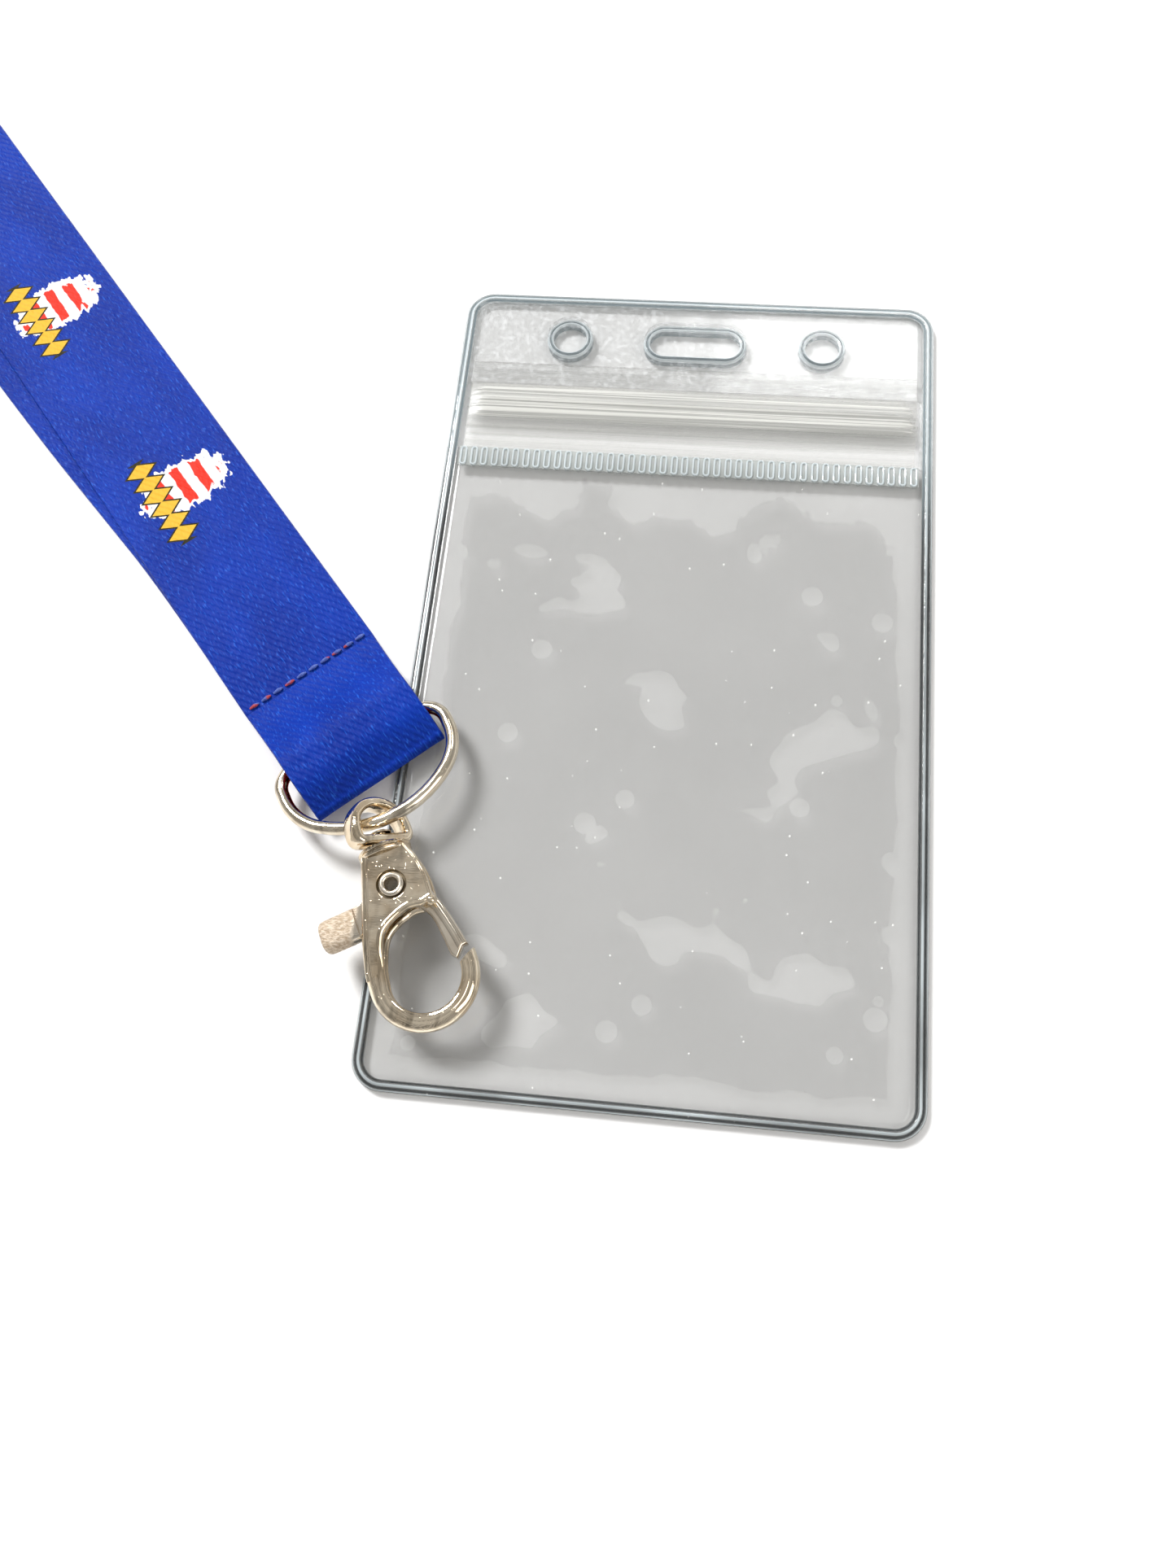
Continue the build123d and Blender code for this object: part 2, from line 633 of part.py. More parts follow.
rivet_end = BOSS_T / 2 - RIVET_SEAT_D
with BuildPart() as lever_rivet:
    with BuildSketch(clasp_plane):
        with Locations((RIVET_X, RIVET_Y)):
            Circle(RIVET_R)
    extrude(amount=rivet_end, both=True)
    for face_side in (-1, 1):
        with BuildSketch(clasp_plane.offset(face_side * rivet_end)):
            with Locations((RIVET_X, RIVET_Y)):
                Circle(RIVET_HEAD_R)
        extrude(amount=face_side * RIVET_HEAD_T)
    with BuildSketch(clasp_plane):
        with Locations((RIVET_X, RIVET_Y)):
            Circle(RIVET_BORE_R)
    extrude(amount=BOSS_T, both=True, mode=Mode.SUBTRACT)
finish(lever_rivet, "lever_rivet")

spring_centre = clasp_plane.offset(SPRING_BASE).from_local_coords((RIVET_X, RIVET_Y, 0))
spring_plane = Plane(origin=spring_centre, x_dir=clasp_across, z_dir=(0, 0, 1))
with BuildPart() as lever_spring:
    with BuildLine(spring_plane) as coil:
        Helix(pitch=SPRING_PITCH, height=SPRING_PITCH * SPRING_TURNS, radius=SPRING_R)
    with BuildSketch(Plane(origin=coil.wire() @ 0, z_dir=coil.wire() % 0)):
        Circle(SPRING_WIRE_R)
    sweep(path=coil.wire(), is_frenet=True)
finish(lever_spring, "lever_spring")
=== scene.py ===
import math

import bpy
from mathutils import Matrix, Vector, noise


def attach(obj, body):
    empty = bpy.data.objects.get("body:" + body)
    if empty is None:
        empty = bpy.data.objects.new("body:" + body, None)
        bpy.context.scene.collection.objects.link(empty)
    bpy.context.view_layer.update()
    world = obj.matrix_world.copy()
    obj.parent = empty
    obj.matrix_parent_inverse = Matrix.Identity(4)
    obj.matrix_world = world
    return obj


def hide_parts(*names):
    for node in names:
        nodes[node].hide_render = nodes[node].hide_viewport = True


# Looks of the lanyard badge holder. Shapes are worked out in millimetres in the CAD's frame, and scaled
# to metres when a mesh is made: +X right across the pouch, +Y towards its header, +Z up off the floor.

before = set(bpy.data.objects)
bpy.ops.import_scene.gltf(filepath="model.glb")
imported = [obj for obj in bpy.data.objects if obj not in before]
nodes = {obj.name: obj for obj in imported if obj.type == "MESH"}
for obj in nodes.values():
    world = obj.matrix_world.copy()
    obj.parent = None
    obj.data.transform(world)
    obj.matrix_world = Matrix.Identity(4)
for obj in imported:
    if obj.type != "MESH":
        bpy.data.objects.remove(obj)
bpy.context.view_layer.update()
MM = 0.001
UP = Vector((0, 0, 1))
POUCH_X = 34.0
POUCH_Y = 58.1
POUCH_R = 4.0
STRAIGHT_X = POUCH_X - POUCH_R
STRAIGHT_Y = POUCH_Y - POUCH_R
WINDOW_TOP = 31.2
HEADER_BOTTOM = 42.2
FLOOR_GAP = 0.02


def unit(value):
    """The value kept between 0 and 1."""
    return min(1.0, max(0.0, value))


def ease(value):
    """A smooth step from 0 to 1."""
    share = unit(value)
    return share * share * (3 - 2 * share)


def wavy(size, x, y, z):
    """Smooth noise of this size at a place."""
    return size * noise.noise(Vector((x, y, z)))


def heading(degrees):
    """The flat unit vector at this angle."""
    angle = math.radians(degrees)
    return Vector((math.cos(angle), math.sin(angle)))


def new_object(name, data):
    """An object with this data, in the scene."""
    made = bpy.data.objects.new(name, data)
    bpy.context.scene.collection.objects.link(made)
    return made


def read_curve(curve):
    """The vertices and faces that a curve makes. The curve itself is removed."""
    holder = new_object("curve", curve)
    mesh = bpy.data.meshes.new_from_object(holder)
    verts = [vert.co.copy() for vert in mesh.vertices]
    faces = [list(polygon.vertices) for polygon in mesh.polygons]
    bpy.data.objects.remove(holder)
    bpy.data.meshes.remove(mesh)
    bpy.data.curves.remove(curve)
    return verts, faces


# ---- meshes
class Shape:
    """Collects surfaces in millimetres and makes one object of them."""

    def __init__(self):
        self.verts = []
        self.faces = []
        self.uvs = []
        self.kinds = []

    def add(self, verts, faces, kinds=0, uvs=None):
        """Takes in faces, with one material number for all of them or one for each, and their UVs."""
        base = len(self.verts)
        self.verts += [Vector(vert) for vert in verts]
        self.faces += [[base + index for index in face] for face in faces]
        self.kinds += [kinds] * len(faces) if isinstance(kinds, int) else kinds
        self.uvs += uvs or [[(0, 0)] * len(face) for face in faces]

    def loft(self, rings, closed=False, kind=0, uvs=None, kind_of=None):
        """Quads between rings of equal length, with flat ends where the run isn't closed."""
        size = len(rings[0])
        faces = []
        face_uvs = []
        kinds = []
        spans = len(rings) if closed else len(rings) - 1
        for row in range(spans):
            after = (row + 1) % len(rings)
            for column in range(size):
                beside = (column + 1) % size
                corners = ((row, column), (row, beside), (after, beside), (after, column))
                faces.append([r * size + c for r, c in corners])
                face_uvs.append([uvs[r][c] for r, c in corners] if uvs else [(0, 0)] * 4)
                kinds.append(kind_of(column) if kind_of else kind)
        if not closed:
            faces.append(list(range(size - 1, -1, -1)))
            faces.append([(len(rings) - 1) * size + column for column in range(size)])
            face_uvs += [[(0, 0)] * size, [(0, 0)] * size]
            kinds += [kind, kind]
        self.add([vert for ring in rings for vert in ring], faces, kinds, face_uvs)

    def mirror(self, plane):
        """Adds the same surfaces again on the other side of a local plane's z = 0."""
        count = len(self.verts)
        back = plane.inverted()
        flipped = []
        for vert in self.verts:
            local = back @ vert
            flipped.append(plane @ Vector((local.x, local.y, -local.z)))
        self.verts += flipped
        self.faces += [[count + index for index in reversed(face)] for face in self.faces]
        self.uvs += [list(reversed(uv)) for uv in self.uvs]
        self.kinds += self.kinds

    def make(self, name, materials, smooth_angle=40.0):
        mesh = bpy.data.meshes.new(name)
        mesh.from_pydata([vert * MM for vert in self.verts], [], self.faces)
        layer = mesh.uv_layers.new(name="uv")
        flat = [corner for face in self.uvs for corner in face]
        for number, corner in enumerate(flat):
            layer.data[number].uv = (corner[0] * MM, corner[1] * MM)
        for polygon, kind in zip(mesh.polygons, self.kinds):
            polygon.material_index = kind
            polygon.use_smooth = True
        for material in materials:
            mesh.materials.append(material)
        mesh.validate()
        mesh.set_sharp_from_angle(angle=math.radians(smooth_angle))
        return new_object(name, mesh)


def place(piece, body, slot, *replaced):
    """Puts a piece on its body and hides the CAD nodes it stands for; its slot is not used."""
    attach(piece, body)
    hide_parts(*replaced)
    return piece


def axes_at(origin, x_dir, y_dir, z_dir):
    """The matrix whose axes are these directions, at the origin given."""
    return Matrix.Translation(Vector(origin)) @ Matrix((x_dir, y_dir, z_dir)).transposed().to_4x4()


def local_plane(origin, x_axis, y_axis):
    """The matrix that takes a local (x, y, z) in millimetres to the shared frame."""
    x_dir = Vector(x_axis).normalized()
    z_dir = x_dir.cross(Vector(y_axis)).normalized()
    return axes_at(origin, x_dir, z_dir.cross(x_dir), z_dir)


def smooth_path(points, steps=8):
    """A Catmull-Rom curve through the points."""
    places = [Vector(point) for point in points]
    first = places[0] * 2 - places[1]
    last = places[-1] * 2 - places[-2]
    padded = [first] + places + [last]
    path = []
    for a, b, c, d in zip(padded, padded[1:], padded[2:], padded[3:]):
        for step in range(steps):
            t = step / steps
            curve = b * 2 + (c - a) * t + (a * 2 - b * 5 + c * 4 - d) * t * t
            path.append((curve + (b * 3 - a - c * 3 + d) * t ** 3) / 2)
    path.append(places[-1])
    return path


def arc(centre, radius, start, turn, step=6.0):
    """Points of an arc, angles in degrees, both ends included."""
    count = max(2, math.ceil(abs(turn) / step))
    points = []
    for number in range(count + 1):
        angle = math.radians(start + turn * number / count)
        x = centre[0] + radius * math.cos(angle)
        points.append(Vector((x, centre[1] + radius * math.sin(angle))))
    return points


def oval(half_a, half_b, power=2.0, count=24):
    """A superellipse section: power 2 is an ellipse, higher is squarer."""
    section = []
    for number in range(count):
        angle = 2 * math.pi * number / count
        c = math.cos(angle)
        s = math.sin(angle)
        a = half_a * math.copysign(abs(c) ** (2 / power), c)
        b = half_b * math.copysign(abs(s) ** (2 / power), s)
        section.append((a, b))
    return section


def tangents(points, closed):
    """The direction of travel at each point."""
    count = len(points)
    result = []
    for number in range(count):
        before = points[(number - 1) % count] if closed or number else points[0]
        after = points[(number + 1) % count] if closed or number < count - 1 else points[-1]
        result.append((after - before).normalized())
    return result


def planar_sweep(path, plane, section, closed=False, shear_end=0.0, lift=(0.0, 0.0)):
    """Rings of a section along a flat path: a is to the right of the travel and b is out of the plane.

    The section is lifted by the first value at the start of the path and by the second at its end.
    """
    rings = []
    last = len(path) - 1
    for number, (point, travel) in enumerate(zip(path, tangents(path, closed))):
        right = Vector((travel.y, -travel.x))
        raised = lift[0] + (lift[1] - lift[0]) * number / last
        shear = shear_end if number == last else 0.0
        ring = []
        for a, b in section:
            spot = point + right * a + travel * (shear * a)
            ring.append(plane @ Vector((spot.x, spot.y, b + raised)))
        rings.append(ring)
    return rings


def offset_path(path, distance):
    """The flat path moved to the right of its travel."""
    moved = []
    for point, travel in zip(path, tangents(path, False)):
        moved.append(point + Vector((travel.y, -travel.x)) * distance)
    return moved


def revolve(profile, plane, count=48):
    """Rings of a closed profile (radius, height) turned about the plane's z axis."""
    rings = []
    for number in range(count):
        angle = 2 * math.pi * number / count
        c = math.cos(angle)
        s = math.sin(angle)
        rings.append([plane @ Vector((radius * c, radius * s, height)) for radius, height in profile])
    return rings


def plate(outlines, bottom, top, bevel, plane):
    """The vertices and faces of a flat plate with rounded edges. Its holes come after its outline."""
    curve = bpy.data.curves.new("plate", "CURVE")
    curve.dimensions = "2D"
    curve.fill_mode = "BOTH"
    curve.extrude = (top - bottom) / 2 - bevel
    curve.bevel_depth = bevel
    curve.bevel_resolution = 3
    curve.offset = -bevel
    for outline in outlines:
        spline = curve.splines.new("POLY")
        spline.points.add(len(outline) - 1)
        for point, spot in zip(spline.points, outline):
            point.co = (spot[0], spot[1], 0, 1)
        spline.use_cyclic_u = True
    verts, faces = read_curve(curve)
    middle = (top + bottom) / 2
    return [plane @ Vector((spot.x, spot.y, spot.z + middle)) for spot in verts], faces


def apply_all(piece):
    """Applies the modifiers and keeps the materials."""
    depsgraph = bpy.context.evaluated_depsgraph_get()
    mesh = bpy.data.meshes.new_from_object(piece.evaluated_get(depsgraph))
    old = piece.data
    piece.modifiers.clear()
    piece.data = mesh
    bpy.data.meshes.remove(old)
    for polygon in piece.data.polygons:
        polygon.use_smooth = True


def cut(piece, cutter):
    """Takes the cutter's space out of the piece."""
    knife = piece.modifiers.new("cut", "BOOLEAN")
    knife.object = cutter
    knife.operation = "DIFFERENCE"
    knife.solver = "EXACT"
    apply_all(piece)
    bpy.data.objects.remove(cutter)
    piece.data.set_sharp_from_angle(angle=math.radians(35))


def repaint(node, material):
    """Gives a CAD node that stays in view its finished material."""
    nodes[node].data.materials.clear()
    nodes[node].data.materials.append(material)


# ---- materials
class Paint:
    """Builds a procedural material around one principled shader."""

    def __init__(self, name, **settings):
        self.material = bpy.data.materials.new(name)
        self.material.use_nodes = True
        self.tree = self.material.node_tree
        self.shader = self.tree.nodes["Principled BSDF"]
        for socket, value in settings.items():
            self.set(socket.replace("_", " "), value)
        self.place = self.node("ShaderNodeTexCoord", {})

    def node(self, kind, inputs, **settings):
        """A node with these settings, and with these inputs set or linked."""
        made = self.tree.nodes.new(kind)
        for key, value in settings.items():
            setattr(made, key, value)
        for socket, value in inputs.items():
            self.put(made.inputs[socket], value)
        return made

    def put(self, socket, value):
        if isinstance(value, bpy.types.NodeSocket):
            self.tree.links.new(value, socket)
        else:
            socket.default_value = value

    def set(self, name, value):
        self.put(self.shader.inputs[name], value)

    def math(self, operation, a, b=0.0):
        return self.node("ShaderNodeMath", {0: a, 1: b}, operation=operation).outputs[0]

    def plus(self, a, b):
        return self.math("ADD", a, b)

    def minus(self, a, b):
        return self.math("SUBTRACT", a, b)

    def times(self, a, b):
        return self.math("MULTIPLY", a, b)

    def apart(self, a, b):
        return self.math("ABSOLUTE", self.minus(a, b))

    def steps(self, value, low, high):
        """0 below low, 1 above high, and smooth between."""
        inputs = {"Value": value, "From Min": low, "From Max": high}
        return self.node("ShaderNodeMapRange", inputs, interpolation_type="SMOOTHSTEP").outputs[0]

    def below(self, value, low, high):
        """1 below low, 0 above high, and smooth between."""
        return self.minus(1.0, self.steps(value, low, high))

    def scale(self, value, low, high):
        """A value of 0 to 1 taken to low to high."""
        return self.node("ShaderNodeMapRange", {"Value": value, "To Min": low, "To Max": high}).outputs[0]

    def mix(self, share, first, second):
        return self.node("ShaderNodeMix", {0: share, 6: first, 7: second}, data_type="RGBA").outputs[2]

    def coords(self, scale=(1, 1, 1), turn=0.0, kind="Object"):
        """Texture coordinates, stretched and then turned about z by degrees."""
        inputs = {"Vector": self.place.outputs[kind], "Scale": scale}
        inputs["Rotation"] = (0, 0, math.radians(turn))
        return self.node("ShaderNodeMapping", inputs).outputs[0]

    def split(self, kind="Object"):
        return self.node("ShaderNodeSeparateXYZ", {0: self.place.outputs[kind]}).outputs

    def noise(self, vector, scale=1.0, detail=2.0):
        inputs = {"Vector": vector, "Scale": scale, "Detail": detail}
        return self.node("ShaderNodeTexNoise", inputs).outputs["Fac"]

    def cells(self, vector, scale):
        return self.node("ShaderNodeTexVoronoi", {"Vector": vector, "Scale": scale}).outputs["Distance"]

    def bump(self, height, distance, strength=1.0):
        inputs = {"Height": height, "Distance": distance, "Strength": strength}
        self.set("Normal", self.node("ShaderNodeBump", inputs).outputs[0])


def colour(red, green, blue):
    """A linear colour from the 0 to 255 values of a screen."""
    linear = []
    for value in (red, green, blue):
        share = value / 255
        linear.append(share / 12.92 if share < 0.04045 else ((share + 0.055) / 1.055) ** 2.4)
    return (*linear, 1)


def dimmed(tint, factor):
    """The colour made this much darker."""
    return tuple(value * factor for value in tint[:3]) + (1,)


def satin(name, base, sheen_fleck, dark, printed):
    """Woven satin: fine dashes along the ribbon painted lighter as sheen, twill underneath, and the printed
    motif where asked.
    """
    paint = Paint(name, Specular_IOR_Level=0.1)
    dashes = paint.noise(paint.coords((900, 4200, 1), 9, "UV"), detail=1.0)
    fine = paint.noise(paint.coords((2600, 9000, 1), -24, "UV"), detail=0.0)
    broad = paint.noise(paint.coords((60, 120, 1), kind="UV"))
    inputs = {"Vector": paint.coords((1, 1.6, 1), kind="UV"), "Scale": 420.0, "Distortion": 1.2}
    twill = paint.node("ShaderNodeTexWave", inputs, wave_type="BANDS", bands_direction="DIAGONAL")
    shade = paint.mix(paint.steps(broad, 0.3, 0.7), base, dark)
    # Painted sheen: the dashes and finer specks are lightened towards the fleck colour, as glints off the
    # satin's floats.
    shade = paint.mix(paint.times(paint.steps(dashes, 0.55, 0.8), 0.75), shade, sheen_fleck)
    shade = paint.mix(paint.times(paint.steps(fine, 0.6, 0.85), 0.35), shade, sheen_fleck)
    paint.set("Base Color", motif(paint, shade) if printed else shade)
    paint.bump(paint.plus(dashes, paint.times(twill.outputs["Fac"], 0.5)), 0.00012)
    paint.set("Roughness", paint.scale(dashes, 0.62, 0.38))
    return paint.material


# The motif's sizes are in metres: along the ribbon first, then across it.
MOTIF_PITCH = 0.0397
MOTIF_START = 0.0445
PATCH_AT = (0.0105, 0.0008)
PATCH_HALF = (0.0042, 0.0070)
STRIPE_TURNS = 2100
ROW_AT = (0.01, -0.0031)
ROW_HALF = (0.0075, 0.0022)
DIAMOND_PITCH = 0.0025
OUTLINE = 0.0005


def motif(paint, ground):
    """A generic repeat in place of the print: a row of gold diamonds beside a striped patch."""
    along, across, _ = paint.split("UV")
    step = paint.math("MODULO", paint.minus(along, MOTIF_START), MOTIF_PITCH)
    rough = paint.noise(paint.coords((520, 900, 1), kind="UV"))
    ragged = paint.times(paint.minus(rough, 0.5), 0.006)
    x = paint.math("DIVIDE", paint.minus(step, PATCH_AT[0]), PATCH_HALF[0])
    y = paint.math("DIVIDE", paint.minus(across, PATCH_AT[1]), PATCH_HALF[1])
    radius = paint.math("SQRT", paint.plus(paint.times(x, x), paint.times(y, y)))
    radius = paint.plus(radius, paint.times(ragged, 140))
    waves = paint.math("SINE", paint.times(paint.plus(across, paint.times(ragged, 0.12)), STRIPE_TURNS))
    stripes = paint.times(paint.steps(waves, -0.12, 0.12), paint.below(radius, 0.78, 0.84))
    patch = paint.mix(stripes, colour(236, 236, 238), colour(226, 50, 34))
    shade = paint.mix(paint.below(radius, 0.96, 1.0), ground, patch)
    saw = paint.apart(paint.math("PINGPONG", step, DIAMOND_PITCH), DIAMOND_PITCH / 2)
    half_run = paint.apart(step, ROW_AT[0])
    slope = paint.plus(paint.apart(across, ROW_AT[1]), paint.times(saw, 1.7))
    for grow, ink in ((OUTLINE, colour(44, 40, 20)), (0.0, colour(224, 176, 56))):
        run = paint.math("LESS_THAN", half_run, ROW_HALF[0] + grow)
        diamond = paint.math("LESS_THAN", slope, ROW_HALF[1] + grow)
        shade = paint.mix(paint.times(run, diamond), shade, ink)
    return shade


def nickel(name, base, rough, wear, bump_size):
    """Plated metal: cloudy wear, stretched streaks of painted dark reflection, pits, fine scratches and
    shallow dents.
    """
    paint = Paint(name, Metallic=1.0)
    where = paint.coords()
    clouds = paint.noise(where, 260.0, 3.0)
    marks = paint.noise(paint.coords((900, 5200, 900), 25))
    dark_reflection_streaks = paint.noise(paint.coords((520, 150, 420), 25))
    spots = paint.below(paint.cells(where, 1700.0), 0.06, 0.16)
    shade = paint.mix(paint.steps(clouds, 0.35, 0.7), base, wear)
    # Painted reflection: the stretched streaks darken the plating towards a dim brown where dark
    # surroundings would be mirrored.
    shade = paint.mix(paint.times(paint.steps(dark_reflection_streaks, 0.52, 0.68), 0.55), shade, dimmed(wear, 0.3))
    paint.set("Base Color", paint.mix(paint.times(spots, 0.25), shade, (0.3, 0.26, 0.2, 1)))
    paint.set("Roughness", paint.scale(paint.times(clouds, marks), rough, rough + 0.14))
    fine = paint.minus(paint.times(marks, 0.5), paint.times(spots, 0.6))
    dents = paint.times(paint.noise(where, 330.0, 1.0), 9.0)
    paint.bump(paint.plus(fine, dents), bump_size, 0.6)
    return paint.material


def coarse_nickel():
    """The lever: the same plating, dull and crinkled on the thumb tab at its left end."""
    paint = Paint("lever_nickel")
    x, _, _ = paint.split()
    tab = paint.below(x, -0.0352, -0.0342)
    clouds = paint.noise(paint.coords(), 300.0, 3.0)
    grain = paint.noise(paint.coords((1, 2.2, 1), -25), 2100.0, 3.0)
    polished = paint.mix(paint.steps(clouds, 0.35, 0.7), (0.78, 0.71, 0.6, 1), (0.66, 0.58, 0.47, 1))
    dull = paint.mix(paint.steps(grain, 0.35, 0.68), colour(176, 156, 132), colour(218, 203, 184))
    paint.set("Base Color", paint.mix(tab, polished, dull))
    paint.set("Metallic", paint.scale(tab, 1.0, 0.3))
    paint.set("Roughness", paint.scale(tab, 0.16, 0.62))
    paint.bump(paint.times(grain, tab), 0.00016, 0.9)
    return paint.material


CLING_TOP = 0.0225
CLING_INSET = 0.0044


def film(name, veil, tint, clings=False, speckled=False):
    """Clear film as a thin grey veil with gloss. The window also shows where it clings to the back."""
    paint = Paint(name, IOR=1.9, Specular_IOR_Level=0.6)
    x, y, _ = paint.split()
    sheet = paint.coords((1, 1, 0.1))
    clouds = paint.noise(sheet, 45.0)
    grain = paint.noise(sheet, 900.0)
    amount = paint.scale(clouds, veil * 0.9, veil * 1.1)
    shade = paint.mix(clouds, tint, dimmed(tint, 0.9))
    if clings:
        wobble = paint.minus(paint.noise(sheet, 95.0, 3.0), 0.5)
        side = paint.minus(POUCH_X * MM, paint.math("ABSOLUTE", x))
        inset = paint.math("MINIMUM", side, paint.plus(y, POUCH_Y * MM))
        inset = paint.plus(inset, paint.times(wobble, 0.004))
        crown = paint.plus(paint.minus(CLING_TOP, y), paint.times(wobble, 0.03))
        wet = paint.steps(inset, CLING_INSET, CLING_INSET + 0.0004)
        wet = paint.times(wet, paint.steps(crown, 0.0, 0.0006))
        lumps = paint.noise(paint.coords((1, 1.25, 0.1), 20), 62.0)
        dots = paint.math("LESS_THAN", paint.cells(sheet, 105.0), 0.15)
        dry = paint.math("MAXIMUM", paint.steps(lumps, 0.605, 0.615), dots)
        wet = paint.times(wet, paint.minus(1.0, dry))
        amount = paint.plus(amount, paint.times(wet, veil * 0.3))
        shade = paint.mix(wet, shade, dimmed(tint, 0.88))
        dust = paint.below(paint.cells(sheet, 420.0), 0.035, 0.07)
        shade = paint.mix(dust, shade, (0.95, 0.95, 0.93, 1))
        amount = paint.plus(amount, paint.times(dust, 0.5))
    if speckled:
        speckle = paint.noise(paint.coords((1500, 1500, 1500)), 1.0, 1.0)
        shade = paint.mix(paint.steps(speckle, 0.45, 0.75), shade, (0.9, 0.93, 0.95, 1))
    paint.set("Base Color", shade)
    paint.set("Alpha", amount)
    paint.set("Roughness", paint.scale(grain, 0.06, 0.2))
    ripple = paint.noise(paint.coords((1, 0.35, 0.1), 15), 60.0)
    paint.bump(paint.plus(ripple, paint.times(grain, 0.02)), 0.0006, 0.5)
    return paint.material


def weld(name, light, header_light, amount):
    """Fused film: a glassy line that changes slowly along the edge, bluer and paler beside the header."""
    paint = Paint(name, IOR=1.7, Roughness=0.08)
    _, y, _ = paint.split()
    drift = paint.noise(paint.coords(), 70.0)
    lower = paint.mix(paint.steps(drift, 0.35, 0.65), dimmed(light, 0.55), light)
    paint.set("Base Color", paint.mix(paint.steps(y, 0.018, 0.034), lower, header_light))
    paint.set("Alpha", paint.scale(drift, amount * 0.8, amount))
    paint.bump(paint.noise(paint.coords(), 900.0, 1.0), 0.0001, 0.3)
    return paint.material


def milky():
    """The zip's extruded strips: cream, half clear, with lines along their length and painted highlights
    along their crests.
    """
    paint = Paint("zip_milky", IOR=1.6)
    _, _, z = paint.split()
    lines = paint.noise(paint.coords((12, 2600, 600)))
    # Painted highlight: the strip's raised crests are made paler and more opaque, whitest where the lines
    # run.
    crest = paint.steps(z, 0.0015, 0.00172)
    tone = paint.math("MAXIMUM", paint.times(paint.steps(lines, 0.42, 0.7), 0.45), crest)
    crest_highlight = paint.times(crest, paint.steps(lines, 0.44, 0.6))
    paint.set("Base Color", paint.mix(crest_highlight, colour(168, 169, 164), colour(240, 240, 234)))
    paint.set("Alpha", paint.scale(tone, 0.09, 0.52))
    paint.set("Roughness", paint.scale(lines, 0.12, 0.3))
    paint.bump(lines, 0.0002, 0.6)
    return paint.material


def thread():
    """Sewing thread: blue with some red showing, twisted plies."""
    paint = Paint("sewing_thread", Roughness=0.6, Sheen_Weight=0.3)
    plies = paint.noise(paint.coords((1, 1, 1), 40), 4200.0, 1.0)
    patches = paint.noise(paint.coords(), 420.0, 1.0)
    blue = paint.mix(plies, colour(22, 42, 120), colour(84, 112, 200))
    paint.set("Base Color", paint.mix(paint.steps(patches, 0.56, 0.62), blue, colour(160, 40, 52)))
    paint.bump(plies, 0.0001)
    return paint.material


def plain_steel(name, base, rough):
    """Small turned and drawn steel: cloudy colour and roughness."""
    paint = Paint(name, Metallic=1.0)
    clouds = paint.noise(paint.coords(), 700.0, 3.0)
    paint.set("Base Color", paint.mix(clouds, base, dimmed(base, 0.8)))
    paint.set("Roughness", paint.scale(clouds, rough, rough + 0.2))
    paint.bump(clouds, 0.00004, 0.5)
    return paint.material


BLUE = colour(6, 50, 158)
BLUE_SHEEN_FLECK = colour(38, 98, 208)
BLUE_DARK = colour(4, 40, 138)
RED = colour(168, 28, 30)
blue_print = satin("ribbon_printed", BLUE, BLUE_SHEEN_FLECK, BLUE_DARK, True)
blue_plain = satin("ribbon_plain", BLUE, BLUE_SHEEN_FLECK, BLUE_DARK, False)
red_inside = satin("ribbon_inside", RED, colour(214, 74, 66), colour(110, 10, 16), False)
wire_metal = nickel("wire_nickel", (0.84, 0.76, 0.62, 1), 0.1, (0.7, 0.6, 0.46, 1), 0.00003)
cast_metal = nickel("cast_nickel", (0.9, 0.79, 0.62, 1), 0.04, (0.66, 0.53, 0.37, 1), 0.00005)
# The recess metal is near-black: painted shade for the seat round the rivet.
recess_shade_metal = nickel("recess_painted_shade", (0.2, 0.16, 0.11, 1), 0.3, (0.1, 0.08, 0.05, 1), 0.00004)
lever_metal = coarse_nickel()
rivet_metal = plain_steel("rivet_steel", (0.84, 0.76, 0.64, 1), 0.14)
spring_metal = plain_steel("spring_steel", (0.5, 0.5, 0.5, 1), 0.3)
GREY_FILM = colour(134, 134, 131)
window_film = film("window_film", 0.19, GREY_FILM, clings=True)
header_clear = film("header_film_clear", 0.18, colour(150, 152, 150), speckled=True)
back_clear = film("back_film_clear", 0.06, colour(185, 186, 186))
# The bright weld material is painted highlight, the dark one painted shade and the mid one a painted half
# shade, given to the weld's faces by which way they turn.
weld_painted_highlight = weld("weld_painted_highlight", colour(214, 224, 228), colour(226, 236, 240), 0.75)
weld_painted_shade = weld("weld_painted_shade", colour(52, 56, 58), colour(132, 146, 152), 0.85)
weld_painted_half_shade = weld("weld_painted_half_shade", colour(160, 164, 164), colour(206, 214, 214), 0.4)
weld_band = weld("weld_band", colour(196, 200, 198), colour(196, 202, 199), 0.5)
zip_film = milky()
sewing = thread()


# ---- the ribbon's two legs
FOLD = Vector((-35.1, -19.6, 0))
strap_dir = heading(131.2).to_3d()
width_dir = Vector((strap_dir.y, -strap_dir.x, 0))
RIBBON_W = 20.0
RIBBON_T = 0.62
STITCH_AT = 18.9
STANDING_Z = 10.0


def on_strap(along, across=0.0, height=0.0):
    """The point this far along the lanyard from its fold, to the right of its centre line and up."""
    return FOLD + strap_dir * along + width_dir * across + UP * height


